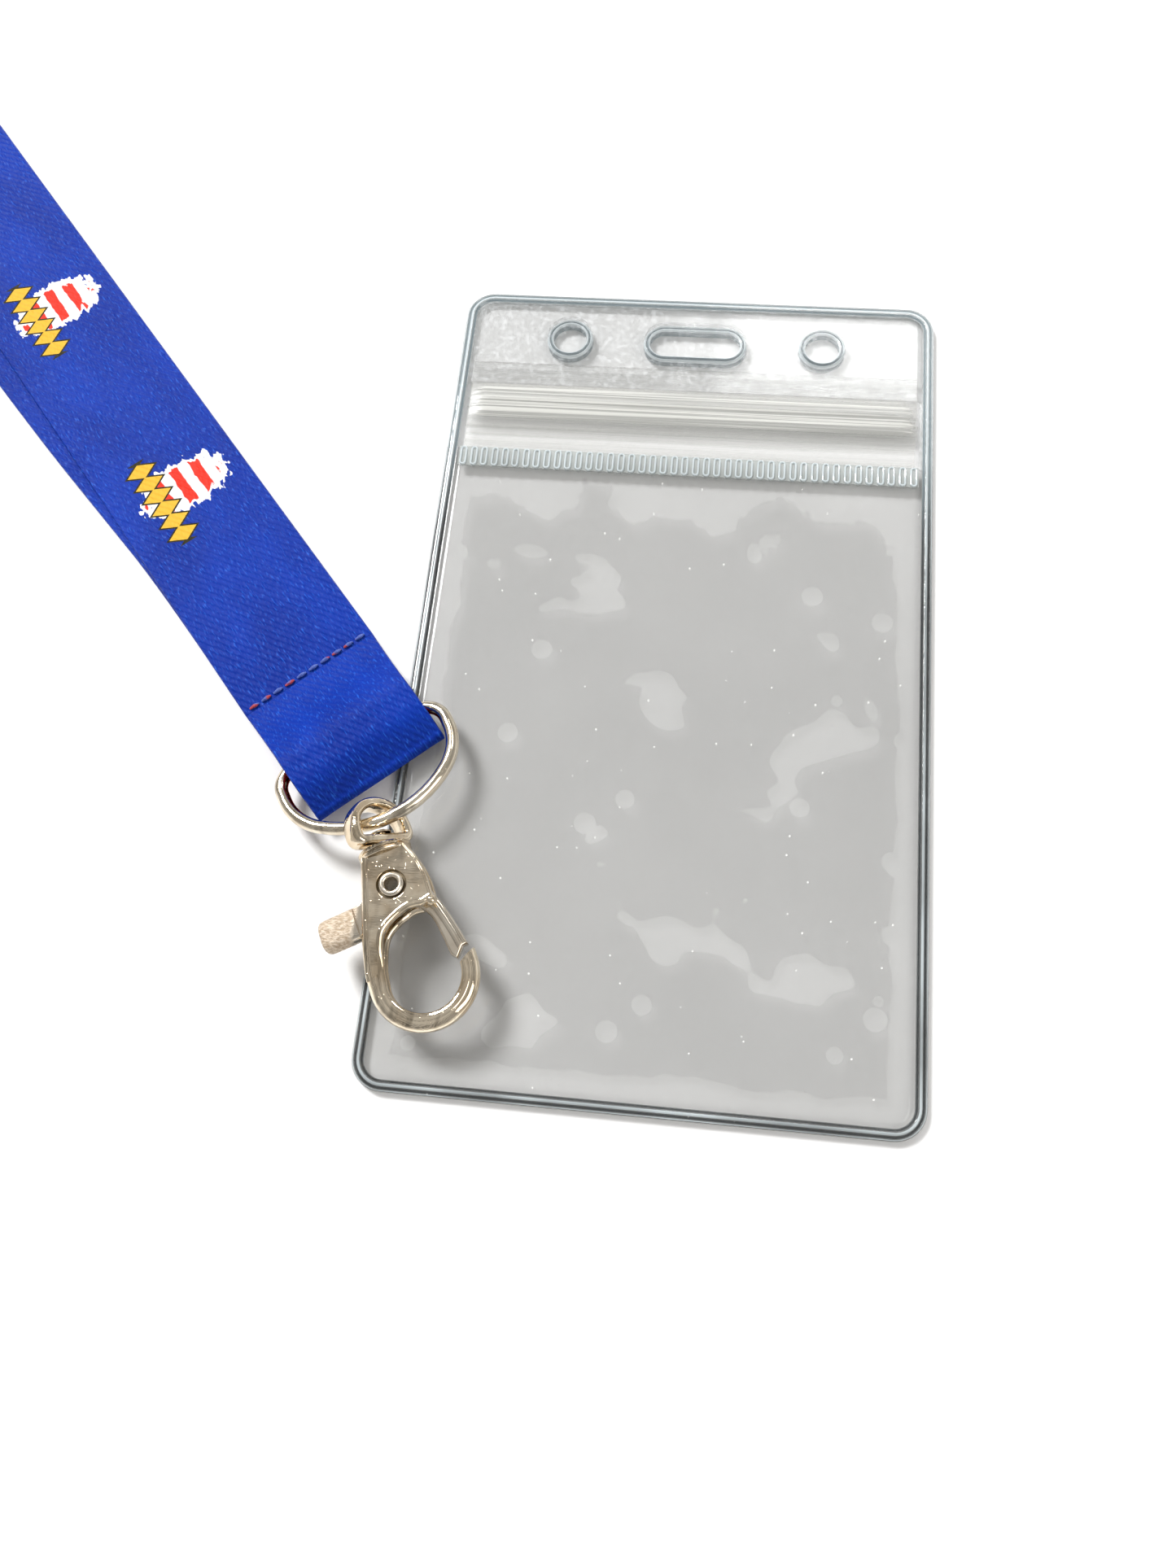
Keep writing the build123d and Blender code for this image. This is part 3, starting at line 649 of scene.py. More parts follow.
def nurbs_path(name, points, steps):
    """A smooth NURBS spline over the route's points, and the points read from it."""
    curve = bpy.data.curves.new(name, "CURVE")
    curve.dimensions = "3D"
    spline = curve.splines.new("NURBS")
    spline.points.add(len(points) - 1)
    for point, spot in zip(spline.points, points):
        point.co = (*(Vector(spot) * MM), 1.0)
    spline.order_u = 3
    spline.use_endpoint_u = True
    spline.resolution_u = steps
    return [spot / MM for spot in read_curve(curve)[0]]


def ribbon_section(half_width):
    """The ribbon's section: flat faces with a slightly thicker woven edge."""
    section = []
    for side in (1, -1):
        for number in range(13):
            across = side * half_width * (number / 6 - 1) * 0.985
            bead = 0.5 * max(0.0, abs(across) / half_width - 0.9)
            section.append((across, side * (RIBBON_T / 2 + bead)))
        section.append((side * half_width, 0.0))
    return section


def ribbon_leg(name, points, flat_z, node_prefix):
    """One leg of the lanyard, flat on its fellow and then rolled up on its edge."""
    path = nurbs_path(name, points, 14)
    section = ribbon_section(RIBBON_W / 2)
    rings = []
    uvs = []
    along = STITCH_AT
    for number, (point, travel) in enumerate(zip(path, tangents(path, False))):
        if number:
            along += (point - path[number - 1]).length
        side = travel.cross(UP).normalized()
        roll = math.asin(unit((point.z - flat_z) / (STANDING_Z - flat_z)))
        across_dir = side * math.cos(roll) - UP * math.sin(roll)
        face_dir = across_dir.cross(travel).normalized()
        pucker = 0.22 * math.exp(-(((along - STITCH_AT - 0.4) / 0.8) ** 2))
        ripple = wavy(0.05, along * 0.07, flat_z, 0)
        ring = []
        for across, height in section:
            drop = pucker if height > 0 else 0.0
            wave = wavy(0.06, along * 0.05, across * 0.12, flat_z) * math.cos(roll)
            spot = point + across_dir * across + face_dir * (height - drop + wave + ripple)
            spot.z = max(spot.z, FLOOR_GAP)
            ring.append(spot)
        rings.append(ring)
        uvs.append([(along, across) for across, _ in section])
    shape = Shape()
    face_count = len(section) // 2
    inner_down = flat_z > LOWER_Z
    shape.loft(rings, uvs=uvs, kind_of=lambda column: int((column >= face_count) == inner_down))
    leg = shape.make(name, [blue_print, blue_plain], 30)
    replaced = [f"{node_prefix}_{part}" for part in ("flat", "twist", "neck")]
    place(leg, "strap", "ribbon", *replaced)


UPPER_Z = 1.1
LOWER_Z = 0.35
# Each leg lies flat beside the pouch, rolls up on its edge, and stands from there on. Its first points
# are given along the lanyard, across it and up; the standing ones as x and y.
upper_lying = (
    (STITCH_AT, 0, UPPER_Z), (60, 0, UPPER_Z), (100, 0, UPPER_Z), (138, 0, UPPER_Z),
    (147, 0.3, 4.6), (157, 0.7, 9.3), (166, 1.0, STANDING_Z),
)
upper_standing = (
    (-157, 121), (-180, 134), (-206, 134), (-263, 131), (-306, 106), (-329, 70), (-329, 44),
)
lower_lying = (
    (STITCH_AT, 0, LOWER_Z), (43, 0, LOWER_Z), (60, -1.3, LOWER_Z), (76, -2.5, LOWER_Z),
    (105, -3.8, LOWER_Z), (138, -1.6, LOWER_Z), (147, -0.8, 4.2), (157, -0.2, 9.2), (166, 0, STANDING_Z),
)
lower_standing = (
    (-156, 118), (-182, 132), (-216, 127), (-238, 101), (-237.5, 67), (-237.5, 15), (-238, -15),
    (-255.5, -39), (-283.5, -48), (-311.5, -39), (-329, -15), (-329.5, 15), (-329, 44),
)
upper_points = [on_strap(*spot) for spot in upper_lying]
upper_points += [(x, y, STANDING_Z) for x, y in upper_standing]
lower_points = [on_strap(*spot) for spot in lower_lying]
lower_points += [(x, y, STANDING_Z) for x, y in lower_standing]
ribbon_leg("ribbon_upper", upper_points, UPPER_Z, "strap_upper")
ribbon_leg("ribbon_lower", lower_points, LOWER_Z, "strap_lower")


# ---- the ribbon's end loop and its seam
LOOP_W = 19.2
LOOP_LIFT = 1.55
FOLD_MID_R = 0.62
FOLD_TOP = LOOP_LIFT + 2 * FOLD_MID_R
loop_lower = smooth_path([(STITCH_AT, 0.35), (14.5, 0.85), (10.0, 1.5), (5.0, LOOP_LIFT), (1.0, LOOP_LIFT)])
loop_turn = arc((1.0, LOOP_LIFT + FOLD_MID_R), FOLD_MID_R, -90, -180, 15)
loop_upper = smooth_path(
    [(1.0, FOLD_TOP), (3.8, 4.4), (6.6, 4.75), (9.4, 4.6), (14.2, 2.25), (17.2, 1.25), (STITCH_AT, 1.08)]
)
loop_path = loop_lower[:-1] + loop_turn + loop_upper[1:]
loop_rings = []
loop_uvs = []
loop_run = 0.0
for number, (spot, travel) in enumerate(zip(loop_path, tangents(loop_path, False))):
    if number:
        loop_run += (spot - loop_path[number - 1]).length
    outward = Vector((-travel.y, travel.x))
    to_seam = STITCH_AT - spot.x
    section = ribbon_section((RIBBON_W + (LOOP_W - RIBBON_W) * unit(to_seam / 9.0)) / 2)
    pucker = 0.2 * math.exp(-((to_seam / 0.7) ** 2)) if spot.y > 0.7 else 0.0
    ring = []
    for across, height in section:
        wave = wavy(0.12, spot.x * 0.2, across * 0.12, spot.y * 0.3) * min(1.0, to_seam / 4)
        drop = pucker if height > 0 else 0.0
        flat = spot + outward * (height + wave - drop)
        ring.append(on_strap(flat.x, across, max(FLOOR_GAP, flat.y)))
    loop_rings.append(ring)
    loop_uvs.append([(loop_run, across) for across, _ in section])
loop = Shape()
face_count = len(section) // 2
loop.loft(loop_rings, uvs=loop_uvs, kind_of=lambda column: int(face_count <= column < 2 * face_count - 1))
place(loop.make("ribbon_loop", [blue_plain, red_inside], 30), "strap", "ribbon", "end_loop")

STITCHES = 10
STITCH_PITCH = 1.85
STITCH_RUN = 1.44
STITCH_R = 0.24
SEAM_AT = 19.35
stitches = Shape()
for number in range(STITCHES):
    start = (number - (STITCHES - 1) / 2) * STITCH_PITCH - STITCH_RUN / 2
    bar_rings = []
    for step in range(11):
        share = step / 10
        fullness = math.sin(math.pi * (0.06 + 0.88 * share)) ** 0.5
        middle = on_strap(SEAM_AT, start + STITCH_RUN * share, 1.32 + 0.12 * fullness)
        ring = []
        for turn in range(12):
            angle = 2 * math.pi * turn / 12
            ply = 1 + 0.12 * math.cos(2 * angle + 9 * share)
            offset = strap_dir * math.cos(angle) + UP * math.sin(angle) * 0.8
            ring.append(middle + offset * (STITCH_R * fullness * ply))
        bar_rings.append(ring)
    stitches.loft(bar_rings)
place(stitches.make("seam_stitches", [sewing]), "strap", "thread", "stitch_row")


# ---- D-ring
RING_TILT = math.radians(10.4)
bar_dir = heading(31.7).to_3d()
crown_flat = Vector((bar_dir.y, -bar_dir.x, 0))
crown_dir = crown_flat * math.cos(RING_TILT) + UP * math.sin(RING_TILT)
ring_plane = local_plane((-39.2, -14.5, 2.9), bar_dir, crown_dir)
HALF_W = 11.4
CORNER_R = 3.0
SIDE_R = 7.5
SIDE_START = 4.0
SIDE_TURN = 50.0
WIRE_R = 0.85
join = Vector((HALF_W - SIDE_R, SIDE_START)) + heading(SIDE_TURN) * SIDE_R
crown_r = join.x / math.cos(math.radians(SIDE_TURN))
crown_y = join.y - crown_r * math.sin(math.radians(SIDE_TURN))
right_half = [Vector((0.1 + (HALF_W - CORNER_R - 0.1) * step / 6, 0)) for step in range(6)]
right_half += arc((HALF_W - CORNER_R, CORNER_R), CORNER_R, -90, 90)
right_half += arc((HALF_W - SIDE_R, SIDE_START), SIDE_R, 0, SIDE_TURN)
right_half += arc((0, crown_y), crown_r, SIDE_TURN, 90 - SIDE_TURN)[1:]
left_half = [Vector((-spot.x, spot.y)) for spot in reversed(right_half[:-1])]
d_ring = Shape()
d_ring.loft(planar_sweep(right_half + left_half, ring_plane, oval(WIRE_R, WIRE_R, 2.0, 28)))
place(d_ring.make("d_ring_wire", [wire_metal]), "ring", "nickel_wire", "d_ring")


# ---- swivel eye
EYE_ROLL = math.radians(45)
clasp_at = Vector((-32.75, -29.55, 5.3))
clasp_across = heading(25.5).to_3d()
clasp_up = Vector((-clasp_across.y, clasp_across.x, 0))
clasp_plane = local_plane(clasp_at, clasp_across, clasp_up)
stem_plane = local_plane(clasp_at, clasp_across, clasp_up.cross(clasp_across))
eye_across = clasp_across * -math.cos(EYE_ROLL) + UP * math.sin(EYE_ROLL)
eye_plane = local_plane(clasp_at, eye_across, clasp_up)
EYE_MID_R = 3.7
EYE_TOP_Y = 2.4
EYE_CORNER_R = 0.75
EYE_CORNER_X = EYE_MID_R - EYE_CORNER_R
EYE_CORNER_Y = 1.8
eye_base = EYE_CORNER_Y - EYE_CORNER_R
eye_path = arc((0, EYE_TOP_Y), EYE_MID_R, 0, 180)
eye_path += arc((-EYE_CORNER_X, EYE_CORNER_Y), EYE_CORNER_R, 180, 90, 18)
eye_path += [Vector((EYE_CORNER_X * (step / 4 - 1), eye_base)) for step in range(1, 8)]
eye_path += arc((EYE_CORNER_X, EYE_CORNER_Y), EYE_CORNER_R, -90, 90, 18)
eye = Shape()
eye.loft(planar_sweep(eye_path, eye_plane, oval(0.7, 1.35, 3.0, 32), closed=True), closed=True)
eye_piece = eye.make("swivel_eye_band", [cast_metal])
bore = Shape()
round_hole = oval(0.92, 0.92, 2.0, 32)
bore.loft([[stem_plane @ Vector((a, b, height)) for a, b in round_hole] for height in (-0.5, 2.0)])
cut(eye_piece, bore.make("bore", []))
place(eye_piece, "eye", "nickel_cast", "swivel_eye")


# ---- snap hook
PLATE_TOP = 2.3
PLATE_BOTTOM = 1.12
RIVET_AT = (-0.18, -5.25)
HOOK_R = 6.65
SHOULDER_Y = -9.8
outer_edge = smooth_path([(-2.83, -0.8), (-4.14, -5.6), (-5.66, -10.8), (-6.49, -14.2), (-HOOK_R, -16.7)])
outer_edge = outer_edge[:-1] + arc((0, -16.7), HOOK_R, 180, 180) + [Vector((HOOK_R, -16.2))]
inner_edge = smooth_path(
    [(3.9, -8.75), (2.6, -9.0), (0.6, -8.9), (-2.5, -10.5), (-3.85, -13.8), (-4.3, -16.7)]
)
inner_edge = inner_edge[:-1] + arc((0.1, -16.75), 4.43, 180, 180)


def squeeze(verts):
    """Thins the casting towards its mid plane on the way down to the hook."""
    back = clasp_plane.inverted()
    result = []
    for vert in verts:
        local = back @ vert
        kept = 1 - 0.48 * ease((SHOULDER_Y - local.y) / 5.2)
        result.append(clasp_plane @ Vector((local.x, local.y, local.z * kept)))
    return result


def add_rail(shape, path, section, **options):
    """Sweeps a section along the casting, thinned towards the hook."""
    shape.loft([squeeze(ring) for ring in planar_sweep(path, clasp_plane, section, **options)])


def add_plate(shape, outlines, bottom, top, bevel, kind=0, thinned=False):
    """Adds a flat plate in the clasp's plane, thinned towards the hook where asked."""
    verts, faces = plate(outlines, bottom, top, bevel, clasp_plane)
    shape.add(squeeze(verts) if thinned else verts, faces, kind)


def round_rivet(radius, step=10):
    """A circle about the rivet, as a closed outline."""
    return arc(RIVET_AT, radius, 0, 360 - step, step)


body = Shape()
cheek = Shape()
core_path = offset_path(outer_edge, -1.1)
core_start = next(number for number, spot in enumerate(core_path) if spot.y < -10.2)
add_rail(body, core_path[core_start:], oval(1.13, 2.15, 2.0, 28), shear_end=0.55)
left_rail = offset_path(outer_edge, -1.0)
rail_end = next(number for number, spot in enumerate(left_rail) if spot.y < -15.5)
add_rail(cheek, left_rail[:rail_end], oval(1.0, 0.6, 2.4, 24), lift=(1.68, 1.18))
add_rail(cheek, offset_path(inner_edge, 0.62), oval(0.6, 0.62, 2.0, 20), lift=(1.72, 1.72))
lip_path = smooth_path([(2.5, -0.9), (3.4, -3.1), (3.78, -5.4), (3.75, -8.3)])
add_rail(cheek, lip_path, oval(0.36, 0.5, 2.2, 18), lift=(1.8, 1.8))
BULGE_R = 0.72
bulge = []
for step in range(11, 0, -1):
    angle = math.pi * step / 12
    width = math.sin(angle) * BULGE_R
    middle = Vector((3.72, -8.7, 1.72 + BULGE_R * math.cos(angle)))
    bulge.append([clasp_plane @ (middle + Vector((a, b, 0))) for a, b in oval(width, width, 2, 18)])
cheek.loft(bulge)
plate_outline = [(2.6, -0.9)] + smooth_path([(2.6, -0.95), (3.4, -3.1), (3.75, -5.4), (3.7, -8.4)])
plate_sides = ((offset_path(inner_edge, 0.45), 3.4), (offset_path(outer_edge, -0.85)[::-1], 0))
for side_path, right_end in plate_sides:
    plate_outline += [spot for spot in side_path if spot.y > -15.0 and spot.x < right_end]
add_plate(cheek, [plate_outline, round_rivet(1.78)], PLATE_BOTTOM, PLATE_TOP, 0.12, thinned=True)
# The seat ring round the rivet head takes the near-black recess metal: painted shade in the recess.
seat_outlines = [round_rivet(1.95), round_rivet(1.12)]
add_plate(cheek, seat_outlines, PLATE_BOTTOM + 0.02, PLATE_TOP - 0.5, 0.04, kind=1)
cheek.mirror(clasp_plane)
body.add(cheek.verts, cheek.faces, cheek.kinds)
add_plate(body, [[(-2.7, -0.8), (2.7, -0.8), (3.2, -2.3), (-3.1, -2.3)]], -2.1, 2.1, 0.1)
stem_profile = [
    (0.001, -1.25), (2.5, -1.25), (3.05, -1.15), (3.24, -0.95), (3.26, -0.8), (3.1, -0.66),
    (3.1, -0.58), (3.3, -0.42), (3.3, -0.22), (3.16, -0.06), (2.8, 0.0), (1.1, 0.02),
    (0.86, 0.14), (0.85, 1.78), (1.43, 1.8), (1.45, 1.98), (1.25, 2.12), (0.001, 2.16),
]
body.loft(revolve(stem_profile, stem_plane, 56), closed=True)
place(body.make("snap_hook_body", [cast_metal, recess_shade_metal], 38), "clasp", "nickel_cast", "clasp_body")

rivet = Shape()
rivet_plane = clasp_plane @ Matrix.Translation((*RIVET_AT, 0))
head = [
    (0.8, 2.2), (0.84, 2.42), (0.98, 2.55), (1.18, 2.6),
    (1.38, 2.53), (1.49, 2.36), (1.46, 2.2), (1.1, 2.14),
]
rivet_profile = head + [(radius, -height) for radius, height in reversed(head)]
rivet.loft(revolve(rivet_profile, rivet_plane, 48), closed=True)
place(rivet.make("lever_rivet_hollow", [rivet_metal]), "clasp", "rivet_steel", "lever_rivet")


# ---- lever: gate bar, hub and thumb tab
lever = Shape()
gate_outline = [(1.5, -3.3), (3.35, -6.0), (4.75, -9.2), (6.1, -14.9), (5.45, -14.95), (4.4, -16.2)]
gate_outline += smooth_path([(3.8, -15.5), (2.95, -10.2), (0.6, -7.5)])
add_plate(lever, [gate_outline], -0.82, 0.82, 0.3)
bar_path = smooth_path([(2.9, -6.4), (3.9, -9.4), (4.75, -12.6), (5.2, -14.9)])
lever.loft(planar_sweep(bar_path, clasp_plane, oval(0.78, 0.98, 2.4, 24), shear_end=0.6))
ridge_path = smooth_path([(3.7, -7.2), (4.9, -10.6), (5.85, -14.7)])
lever.loft(planar_sweep(ridge_path, clasp_plane, oval(0.26, 0.8, 2.0, 16)))
web = [(-1.5, -3.5), (-4.9, -5.9), (-6.3, -6.2), (-6.3, -9.7), (-5.0, -9.6), (-1.5, -7.4)]
add_plate(lever, [web], -0.93, 0.93, 0.15)
add_plate(lever, [round_rivet(2.6, 5), round_rivet(1.16)], -0.95, 0.2, 0.05)
TAB_SLOPE = math.tan(math.radians(4))
TAB_ROOT = -5.7
TAB_REACH = 4.6
TAB_HALF_HIGH = 1.98
TAB_HALF_THICK = 1.6
tab_rings = []
for step in range(19):
    share = step / 18
    reach = TAB_ROOT - TAB_REACH * math.sin(math.pi / 2 * share)
    round_off = math.sqrt(1 - unit((share - 0.45) / 0.55) ** 3)
    ring = []
    for a, b in oval(1.0, 1.0, 3.4, 40):
        high = -8.0 - a * (TAB_HALF_HIGH * round_off + 0.02) + (reach + 6) * TAB_SLOPE
        local = Vector((reach, high, b * TAB_HALF_THICK * round_off ** 0.5))
        grain = wavy(0.07, local.x * 1.8, local.y * 3.0, local.z * 1.8)
        local.z += grain if b > 0 else -grain
        ring.append(clasp_plane @ local)
    tab_rings.append(ring)
lever.loft(tab_rings)
place(lever.make("gate_lever", [lever_metal], 38), "gate", "nickel_lever", "lever")


# ---- pouch: window film and header film
FILM_T = 0.33
RIM_TOP = 0.7
RIM_MARKS = (0, 0.3, 0.6, 0.9, 1.2, 1.5, 1.7, 1.85, 2.0, 2.15, 2.4, 2.8, 3.4, 4.0)


def lines_between(low, high, rim, step):
    """Grid lines close together near a rim and wider apart inside."""
    near = [low + mark for mark in RIM_MARKS] if rim[0] else [low]
    far = [high - mark for mark in reversed(RIM_MARKS)] if rim[1] else [high]
    count = max(1, round((far[0] - near[-1]) / step))
    inner = [near[-1] + (far[0] - near[-1]) * number / count for number in range(1, count)]
    return near + inner + far


def rounded(x, y):
    """Bends the square corners of the grid into the pouch's round ones."""
    from_x = abs(x) - STRAIGHT_X
    from_y = abs(y) - STRAIGHT_Y
    if from_x <= 0 or from_y <= 0:
        return x, y
    scale = max(from_x, from_y) / math.hypot(from_x, from_y)
    return math.copysign(STRAIGHT_X + from_x * scale, x), math.copysign(STRAIGHT_Y + from_y * scale, y)


def film_sheet(shape, x_lines, y_lines, top_at):
    """A closed thin sheet over a grid, with its top face at a height for each place."""
    columns = len(x_lines)
    grid = [(*rounded(x, y), top_at(x, y)) for y in y_lines for x in x_lines]
    upper = [Vector(spot) for spot in grid]
    lower = [Vector((x, y, height - FILM_T)) for x, y, height in grid]
    count = len(upper)
    faces = []
    for row in range(len(y_lines) - 1):
        for column in range(columns - 1):
            a = row * columns + column
            quad = [a, a + 1, a + columns + 1, a + columns]
            faces.append(quad)
            faces.append([count + index for index in reversed(quad)])
    border = list(range(columns))
    border += [row * columns + columns - 1 for row in range(1, len(y_lines))]
    border += [(len(y_lines) - 1) * columns + column for column in range(columns - 2, -1, -1)]
    border += [row * columns for row in range(len(y_lines) - 2, 0, -1)]
    for here, after in zip(border, border[1:] + border[:1]):
        faces.append([here, count + here, count + after, after])
    shape.add(upper + lower, faces)


def over_wall(inset, high):
    """The film's height, rising from its welded rim over the wall to the raised part."""
    return RIM_TOP + (high - RIM_TOP) * ease((inset - 1.5) / 0.75)


def window_height(x, y):
    """The window's top face: rim, wall, and the slack of a film that has been handled."""
    inset = min(POUCH_X - abs(x), y + POUCH_Y)
    slack = wavy(0.1, x * 0.06, y * 0.05, 1.5) + wavy(0.05, x * 0.2, y * 0.17, 4.5)
    lap = max(0.0, 1 - abs(y - WINDOW_TOP + 1) / 4)
    return over_wall(inset, 1.0) + slack * unit((inset - 2.4) / 5) * (1 - lap)


def header_height(x, y):
    """The header film's top face: its rim, and its raised part over the zip's flange."""
    inset = min(POUCH_X - abs(x), POUCH_Y - y)
    return over_wall(inset, 1.05) + unit((inset - 2.4) / 4) * wavy(0.06, x * 0.09, y * 0.11, 8.5)


window = Shape()
grid_x = lines_between(-POUCH_X, POUCH_X, (True, True), 2.0)
film_sheet(window, grid_x, lines_between(-POUCH_Y, WINDOW_TOP, (True, False), 2.0), window_height)
place(window.make("window_film_sheet", [window_film]), "pouch", "clear_film", "front_window")

header = Shape()
film_sheet(header, grid_x, lines_between(HEADER_BOTTOM, POUCH_Y, (False, True), 1.4), header_height)
strip_x = POUCH_X - 1.9
strip_low = RIM_TOP - FILM_T
strip = [(POUCH_X, RIM_TOP), (strip_x, RIM_TOP), (strip_x, strip_low), (POUCH_X, strip_low)]
for side in (-1, 1):
    header.loft([[Vector((side * x, y, z)) for x, z in strip] for y in (WINDOW_TOP, HEADER_BOTTOM)])
header_piece = header.make("header_film_sheet", [header_clear])


def stadium(centre_x, centre_y, half_run, radius, step=9.0):
    """A circle, or a long slot with round ends, as a closed outline."""
    right = arc((centre_x + half_run, centre_y), radius, -90, 180, step)
    left = arc((centre_x - half_run, centre_y), radius, 90, 180, step)
    if half_run == 0:
        return right[:-1] + left[:-1]
    return right + left


# The punched holes: the node of the weld ring, the centre, half the straight run and the radius.
HOLES = (
    ("hole_ring_left", -18.2, 50.3, 0.0, 2.4),
    ("hole_ring_right", 18.2, 50.3, 0.0, 2.4),
    ("slot_weld_ring", 0.0, 50.15, 4.35, 2.15),
)
for _, hole_x, hole_y, half_run, radius in HOLES:
    cutter = Shape()
    outline = stadium(hole_x, hole_y, half_run, radius + 0.8)
    cutter.loft([[Vector((spot.x, spot.y, height)) for spot in outline] for height in (0.0, 2.0)])
    cut(header_piece, cutter.make("cutter", []))
place(header_piece, "pouch", "clear_film", "header_film")
repaint("back_panel", back_clear)

RING_PROFILE = [
    (0.0, 0.0), (0.0, 0.95), (0.08, 1.17), (0.26, 1.25), (0.42, 1.14), (0.5, 0.98),
    (0.58, 1.12), (0.72, 1.22), (0.86, 1.1), (0.94, 0.85), (0.95, 0.0),
]
# The faces in the ring's groove and on its inner and outer walls take the dark weld material as painted
# shade; the rest take the bright one as painted highlight.
RING_SHADED_FACES = (0, 3, 4, 5, 9)
flat_plane = Matrix.Identity(4)
for node, hole_x, hole_y, half_run, radius in HOLES:
    ring = Shape()
    outline = stadium(hole_x, hole_y, half_run, radius)
    rings = planar_sweep(outline, flat_plane, RING_PROFILE, closed=True)
    ring.loft(rings, closed=True, kind_of=lambda column: int(column in RING_SHADED_FACES))
    place(ring.make(node + "_glassy", [weld_painted_highlight, weld_painted_shade]), "pouch", "weld_film", node)


# ---- pouch: edge weld
def pouch_edge(inset):
    """The pouch's outline set in from its edge, anticlockwise from the lower right corner."""
    radius = POUCH_R - inset
    corners = ((1, -1), (1, 1), (-1, 1), (-1, -1))
    centres = [Vector((x * STRAIGHT_X, y * STRAIGHT_Y)) for x, y in corners]
    outline = []
    for number, centre in enumerate(centres):
        outline += arc(centre, radius, 90 * number - 90, 90, 9)
        here = outline[-1]
        goal = centres[(number + 1) % 4] + heading(90 * number) * radius
        steps = 14 if number % 2 else 24
        outline += [here + (goal - here) * step / steps for step in range(1, steps)]
    return outline


bead_profile = [
    (0.0, 0.66), (0.05, 0.8), (0.16, 0.86), (0.28, 0.78), (0.36, 0.72), (0.5, 0.74), (0.62, 0.92),
    (0.78, 1.04), (0.95, 1.05), (1.1, 0.94), (1.2, 0.8), (1.32, 0.74), (1.42, 0.66),
]
bead = Shape()
outward_profile = [(-a, b) for a, b in bead_profile]
bead_rings = planar_sweep(pouch_edge(0.08), flat_plane, outward_profile, closed=True)
# Each face of the bead's profile takes the bright, dark or mid weld material: painted highlight, painted
# shade or painted half shade by which way it faces.
BEAD_KINDS = (1, 0, 2, 1, 1, 2, 0, 0, 2, 1, 1, 2, 1)
bead.loft(bead_rings, closed=True, kind_of=lambda column: BEAD_KINDS[column])
place(bead.make("edge_weld_bead", [weld_painted_highlight, weld_painted_shade, weld_painted_half_shade]), "pouch", "weld_film", "edge_bead")


# ---- pouch: zip and ribbed weld
ZIP_HALF = 31.5
ZIP_MID = 38.25
ZIP_STEPS = 60
GUIDES = (-1.5, -0.75, 0.75, 1.5)
lip_points = [(31.3, 1.05), (34.6, 1.07), (35.5, 1.3), (36.25, 1.74), (ZIP_MID, 1.77), (40.25, 1.74)]
lip_top = smooth_path(lip_points + [(41.7, 1.6)], 5)
zip_rings = []
for step in range(ZIP_STEPS + 1):
    x = ZIP_HALF * (2 * step / ZIP_STEPS - 1)
    crush = max(0.0, 1 - (ZIP_HALF - abs(x)) / 1.6)
    ring = []
    for spot in lip_top:
        y = spot.x
        guide = max(0.22 * math.exp(-(((y - ZIP_MID - offset) / 0.2) ** 2)) for offset in GUIDES)
        rise = spot.y + guide * (1 - 0.8 * crush) - 0.35 * crush * max(0.0, spot.y - 1.05)
        ring.append(Vector((x, y + wavy(0.12, x * 0.07, y * 0.3, 2.2) * (1 - crush), rise)))
    underside = [Vector((spot.x, spot.y, max(0.72, spot.z - 0.36))) for spot in reversed(ring)]
    zip_rings.append(ring + underside)
zip_lip = Shape()
zip_lip.loft(zip_rings)
rib_section = oval(0.3, 0.25, 3, 12)
RIB_ENDS = (-31.4, -15, 0, 15, 31.4)
zip_lip.loft([[Vector((x, ZIP_MID + a, 1.16 + b)) for a, b in rib_section] for x in RIB_ENDS])
place(zip_lip.make("zip_lip_strip", [zip_film]), "zip_lip", "zip_film", "zip_rib_strip")
repaint("zip_groove_strip", zip_film)

BAND_HALF = 32.0
BAND_STEPS = 172
BAND_LOW = 28.05
RIB_PITCH = 1.49
RIB_MID_Y = 29.62
SCALLOP = 0.16
ribs = Shape()
band_rings = []
for step in range(BAND_STEPS + 1):
    x = BAND_HALF * (2 * step / BAND_STEPS - 1)
    low = BAND_LOW + SCALLOP * (1 - abs(math.sin(math.pi * (x / RIB_PITCH + 0.5))))
    band = ((low, 0.98), (31.15, 0.98), (31.2, 1.1), (31.15, 1.2), (low, 1.16))
    band_rings.append([Vector((x, y, z)) for y, z in band])
ribs.loft(band_rings)
outline = stadium(0, 0, 1.02, 0.36, 30)
for number in range(43):
    x = (number - 21) * RIB_PITCH + 0.03 * math.sin(number * 2.3)
    upright = [Vector((x + spot.y, RIB_MID_Y + spot.x)) for spot in outline]
    tube = planar_sweep(upright, flat_plane, oval(0.15, 0.17, 2, 8), closed=True, lift=(1.26, 1.26))
    # The ribs take the bright weld material as painted highlight.
    ribs.loft(tube, closed=True, kind=1)
place(ribs.make("ribbed_weld", [weld_band, weld_painted_highlight]), "pouch", "weld_film", "ribbed_weld_band")
repaint("lever_spring", spring_metal)


# ---- floor, light and camera
floor_paint = Paint("floor_paper", Roughness=0.75, Specular_IOR_Level=0.2)
floor_grain = floor_paint.noise(floor_paint.coords(), 900.0)
floor_paint.set("Base Color", floor_paint.mix(floor_grain, (0.9, 0.9, 0.9, 1), (0.93, 0.93, 0.93, 1)))
FLOOR_Z = -0.3
REACH = 2500
floor = Shape()
floor_corners = ((-REACH, -REACH), (REACH, -REACH), (REACH, REACH), (-REACH, REACH))
floor.add([(x, y, FLOOR_Z) for x, y in floor_corners], [(0, 1, 2, 3)])
floor.make("floor", [floor_paint.material])

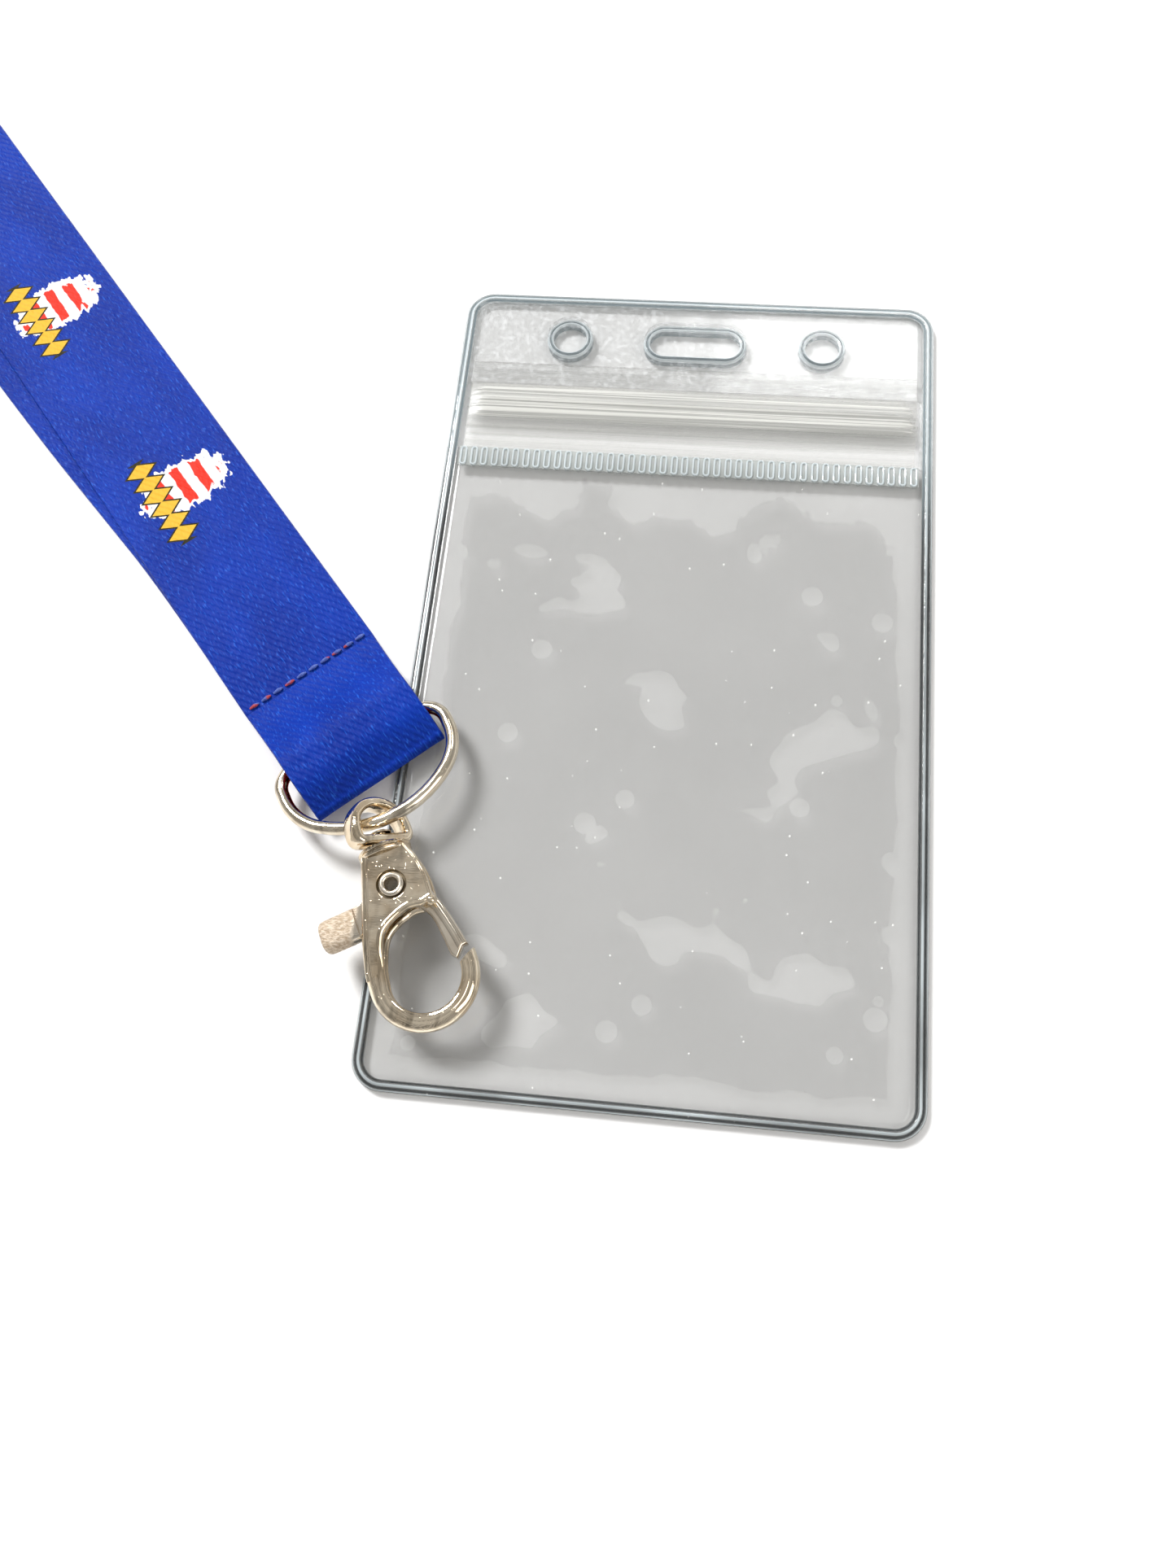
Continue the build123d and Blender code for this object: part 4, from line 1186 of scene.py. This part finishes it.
scene = bpy.context.scene
scene.world = bpy.data.worlds.new("studio")
scene.world.use_nodes = True
sky = scene.world.node_tree
background = sky.nodes["Background"]
sky_place = sky.nodes.new("ShaderNodeTexCoord")
sky_split = sky.nodes.new("ShaderNodeSeparateXYZ")
sky.links.new(sky_place.outputs["Generated"], sky_split.inputs[0])
sky_ramp = sky.nodes.new("ShaderNodeValToRGB")
sky.links.new(sky_split.outputs["Z"], sky_ramp.inputs[0])
sky.links.new(sky_ramp.outputs[0], background.inputs["Color"])
SKY_BANDS = (
    (0.0, 1.0), (0.3, 0.95), (0.4, 0.1), (0.5, 1.0), (0.6, 0.06), (0.68, 1.0),
    (0.76, 0.08), (0.83, 1.0), (0.9, 0.42), (0.96, 0.85), (1.0, 0.75),
)
sky_stops = sky_ramp.color_ramp.elements
for position, _ in SKY_BANDS[1:-1]:
    sky_stops.new(position)
for stop, (_, shade) in zip(sky_stops, SKY_BANDS):
    stop.color = (shade, shade * 0.985, shade * 0.96, 1)
background.inputs["Strength"].default_value = 0.62


def softbox(name, spot, aim, size, power, tint=(1, 1, 1)):
    """A square area light, in millimetres."""
    light = bpy.data.lights.new(name, "AREA")
    light.shape = "RECTANGLE"
    light.size = size[0] * MM
    light.size_y = size[1] * MM
    light.energy = power
    light.color = tint
    lamp = new_object(name, light)
    direction = Vector(aim) - Vector(spot)
    lamp.rotation_euler = direction.to_track_quat("-Z", "Y").to_euler()
    lamp.location = Vector(spot) * MM


softbox("key", (-924, 836, 1364), (-10, 0, 0), (484, 484), 35.8)
softbox("fill", (1056, -440, 1100), (0, 0, 0), (924, 924), 7.7, (1.0, 0.98, 0.95))
softbox("top", (264, 1338, 1540), (20, 50, 0), (560, 300), 5.5)

camera_data = bpy.data.cameras.new("camera")
camera_data.lens = 27.45
camera_data.sensor_width = 36
camera_data.clip_start = 0.005
camera = new_object("camera", camera_data)
look = Vector((-0.08689, 0.31349, -0.94561))
right = Vector((0.99353, 0.09696, -0.05915))
above = Vector((-0.07315, 0.94463, 0.31989))
camera.matrix_world = axes_at(Vector((4.30, -65.63, 145.22)) * MM, right, above, -look)
scene.camera = camera
scene.view_settings.view_transform = "Standard"
scene.cycles.transparent_max_bounces = 32
